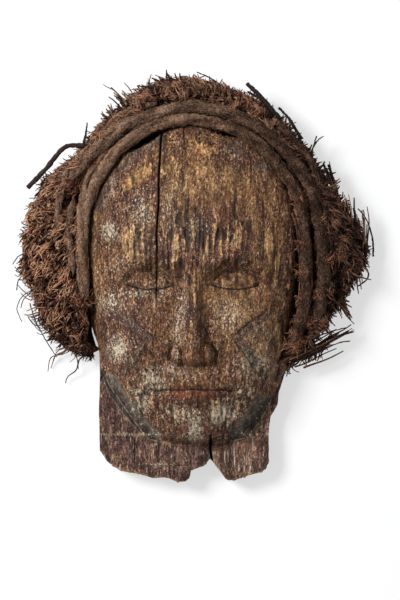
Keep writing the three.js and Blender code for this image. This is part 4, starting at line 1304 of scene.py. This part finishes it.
# Stiff stems and long strands caught in the wig: points, radius at the root and at the tip.
stems = {
    "sides": 7, "rings": 26,
    "lines": [
        ([(-55, 67, 17), (-65, 66.5, 18), (-74, 56.5, 15), (-84, 46.5, 12)], 1.2, 1.3),
        ([(26, 98.5, 16), (33.5, 91, 17), (42.5, 80, 16)], 1.15, 1.5),
        ([(26.2, 94.5, 15), (31.5, 91.5, 15.6), (35, 88.6, 15.6)], 0.6, 0.8),
        ([(42, 86.5, 13.5), (47.5, 80.5, 14.5), (53.5, 70.5, 14)], 0.6, 0.95),
        ([(67, 58, 13), (69.5, 48, 14), (70, 37, 14)], 0.7, 1),
        ([(64.5, 58, 13), (68, 50, 14), (70, 40, 14)], 0.7, 0.9),
        ([(-55.8, 68.5, 15), (-54.6, 74, 15), (-54.1, 79, 14)], 0.75, 0.3),
        ([(55, 58, 17), (59, 66, 15), (61, 72.5, 13)], 0.6, 0.3),
        ([(59.3, 66.5, 15), (61.5, 70, 14), (64.5, 72.2, 12)], 0.42, 0.25),
        ([(82, 36, 10), (86.5, 30, 10), (89.5, 20, 9), (89.8, 12, 8)], 0.3, 0.5),
        ([(80, 9, 12), (86, 6, 11), (87, 1, 9), (82, -3, 9)], 0.35, 0.4),
        ([(70, -3, 12), (75, -10, 9), (78.5, -20, 6)], 0.4, 0.3),
        ([(45, -42, 10), (58, -34, 12), (69, -29, 12), (80, -26, 9)], 0.5, 0.4),
        ([(40, -44, 9), (56, -39, 11), (68, -33, 11), (78, -30.5, 8)], 0.45, 0.3),
        ([(46, -38, 12), (58, -30, 13), (68, -26, 12), (76, -24, 9)], 0.45, 0.3),
        ([(-83.5, -11.5, 6), (-79, -24, 5), (-70, -39, 3)], 0.3, 0.25),
        ([(-80, -4, 9), (-87, -8, 6), (-90, -14.5, 4), (-87.5, -21, 2.5)], 0.28, 0.2),
        ([(-84, 14, 10), (-89, 12, 8), (-92, 8, 6)], 0.35, 0.25),
        ([(-84, 5, 9), (-89, 0, 7), (-90, -5, 5)], 0.35, 0.25),
        ([(-80, -4, 9), (-86, -9, 7), (-88, -14, 5)], 0.3, 0.22),
        ([(-62, -30, 8), (-60, -38, 5), (-59, -45, 3)], 0.3, 0.2),
        ([(2, 95, 18), (-6, 99, 17), (-15, 102, 14)], 0.6, 0.35),
        ([(-10, 93, 18), (-19, 96, 17), (-29, 97.5, 14)], 0.6, 0.35),
        ([(16, 95, 17), (8, 101, 15), (1, 104.5, 12)], 0.45, 0.3),
    ],
}


def stemMesh():
    rng = np.random.default_rng(19)
    lines = np.array([evenLine(points, stems["rings"]) for points, _, _ in stems["lines"]])
    share = np.linspace(0, 1, stems["rings"])
    radii = np.array([mix(first, last, share) for _, first, last in stems["lines"]])
    radii = radii * (1 + 0.1 * rng.normal(0, 1, radii.shape))
    lines[..., :2] += rng.normal(0, 0.08, lines[..., :2].shape)
    return manyTubes("stems", lines, radii, stems["sides"], rng.uniform(0, 0.5, len(lines)))


def wigFinish(name, dark, middle, light):
    fibre = Finish(name, {"Roughness": 0.85, "Specular IOR Level": 0.2})
    patches, clots, fine = fibre.grain(0.09, 3, 0.6), fibre.grain(0.34, 3, 0.7), fibre.grain(1.3, 3, 0.8)
    colour = fibre.ramp(0.5 * fibre.layer("tint") + 0.35 * patches + 0.75 * clots + 1.1 * fine - 0.88,
                        [(0.14, dark), (0.41, middle), (0.72, light)])
    colour = fibre.tinted(colour, 0.8, 2, (1, 0.7, 0.6), (0.95, 0.92, 0.9), (0.85, 1, 0.95))
    return fibre.done(Base_Color=colour, Normal=fibre.bumps(fine, 0.3, 0.7))


print("matting the wig")
# The mat is coloured darker than the fibres on it: painted shade in the depths between them. The fibres are lightest
# on the left and darkest on the right: painted light and shade from the key light on the left.
wigColours = {
    "wig_mat": ((0.004, 0.002, 0.002), (0.014, 0.006, 0.004), (0.045, 0.02, 0.012)),
    "wig_fibres_left": ((0.005, 0.002, 0.002), (0.082, 0.028, 0.015), (0.56, 0.31, 0.19)),
    "wig_fibres_crown": ((0.005, 0.003, 0.002), (0.058, 0.022, 0.013), (0.38, 0.21, 0.13)),
    "wig_fibres_right": ((0.003, 0.002, 0.002), (0.026, 0.01, 0.007), (0.22, 0.11, 0.065)),
    "wig_tufts": ((0.008, 0.004, 0.003), (0.042, 0.017, 0.01), (0.26, 0.14, 0.085)),
    "wig_flecks": ((0.04, 0.018, 0.01), (0.15, 0.08, 0.046), (0.42, 0.27, 0.18)),
    "wig_covers": ((0.01, 0.004, 0.003), (0.07, 0.024, 0.014), (0.3, 0.15, 0.085)),
    "wig_stems": ((0.006, 0.005, 0.005), (0.022, 0.014, 0.011), (0.09, 0.055, 0.04)),
}
finishes = {name: wigFinish(name, *colours) for name, colours in wigColours.items()}
finishes["wig_locks"] = feltFinish("wig_locks", (0.016, 0.008, 0.006), (0.115, 0.062, 0.042), (0.38, 0.26, 0.19))
addPiece("wig_mat", matMesh(), finishes["wig_mat"], ["fibre_wig"])
for name, stretch in fibreStretches.items():
    addPiece(name, clumpedFibres(name, stretch), finishes[name])
for name, kind in tuftKinds.items():
    addPiece(name, edgeTufts(kind), finishes["wig_tufts"])
addPiece("wig_bundles", bundleFibres(), finishes["wig_tufts"])
for name, make in {"flecks": paperyFlecks, "covers": coverFibres, "locks": lockMesh, "stems": stemMesh}.items():
    addPiece("wig_" + name, make(), finishes["wig_" + name])


# The floor, the camera over it and the light

stage = {
    "floorSize": 4, "lens": 150, "sensor": 36, "viewHeight": 0.3, "aimHeight": 0.018,
    "pictureMiddle": (2.5, -10), "sky": 0.44, "floorGlow": 0.58,
    "keyPower": 30, "keyPlace": (-0.9, 0.5, 1.15), "keySize": 0.5,
}


def buildStage():
    bm = bmesh.new()
    bmesh.ops.create_grid(bm, x_segments=8, y_segments=8, size=stage["floorSize"] / 2)
    floor = linked("floor", meshFrom(bm, "floor"))
    paper = Finish("floor_paper", {
        "Roughness": 0.9, "Specular IOR Level": 0.1, "Emission Strength": stage["floorGlow"],
        "Emission Color": (1, 1, 1, 1),
    })
    tone = paper.ramp(paper.grain(0.004, 2), [(0.3, (0.335, 0.34, 0.345)), (0.7, (0.35, 0.35, 0.35))])
    floor.data.materials.append(paper.done(Base_Color=tone))

    camera = linked("camera", bpy.data.cameras.new("camera"))
    camera.data.lens = stage["lens"]
    camera.data.sensor_width = stage["sensor"]
    distance = stage["viewHeight"] * stage["lens"] / stage["sensor"]
    middle = np.array([*stage["pictureMiddle"], 0]) * mm + shift
    camera.location = (middle[0], middle[1], stage["aimHeight"] + distance)
    camera.data.clip_end = 20
    bpy.context.scene.camera = camera

    key = linked("key", bpy.data.lights.new("key", "AREA"))
    key.data.energy = stage["keyPower"]
    key.data.size = stage["keySize"]
    key.location = stage["keyPlace"]
    key.rotation_euler = (-Vector(stage["keyPlace"])).to_track_quat("-Z", "Y").to_euler()

    world = bpy.data.worlds.new("studio")
    world.use_nodes = True
    background = world.node_tree.nodes["Background"].inputs
    background["Color"].default_value, background["Strength"].default_value = (1, 1, 1, 1), stage["sky"]
    bpy.context.scene.world = world
    bpy.context.scene.view_settings.view_transform = "Standard"


print("setting the stage")
buildStage()

print("finishing")
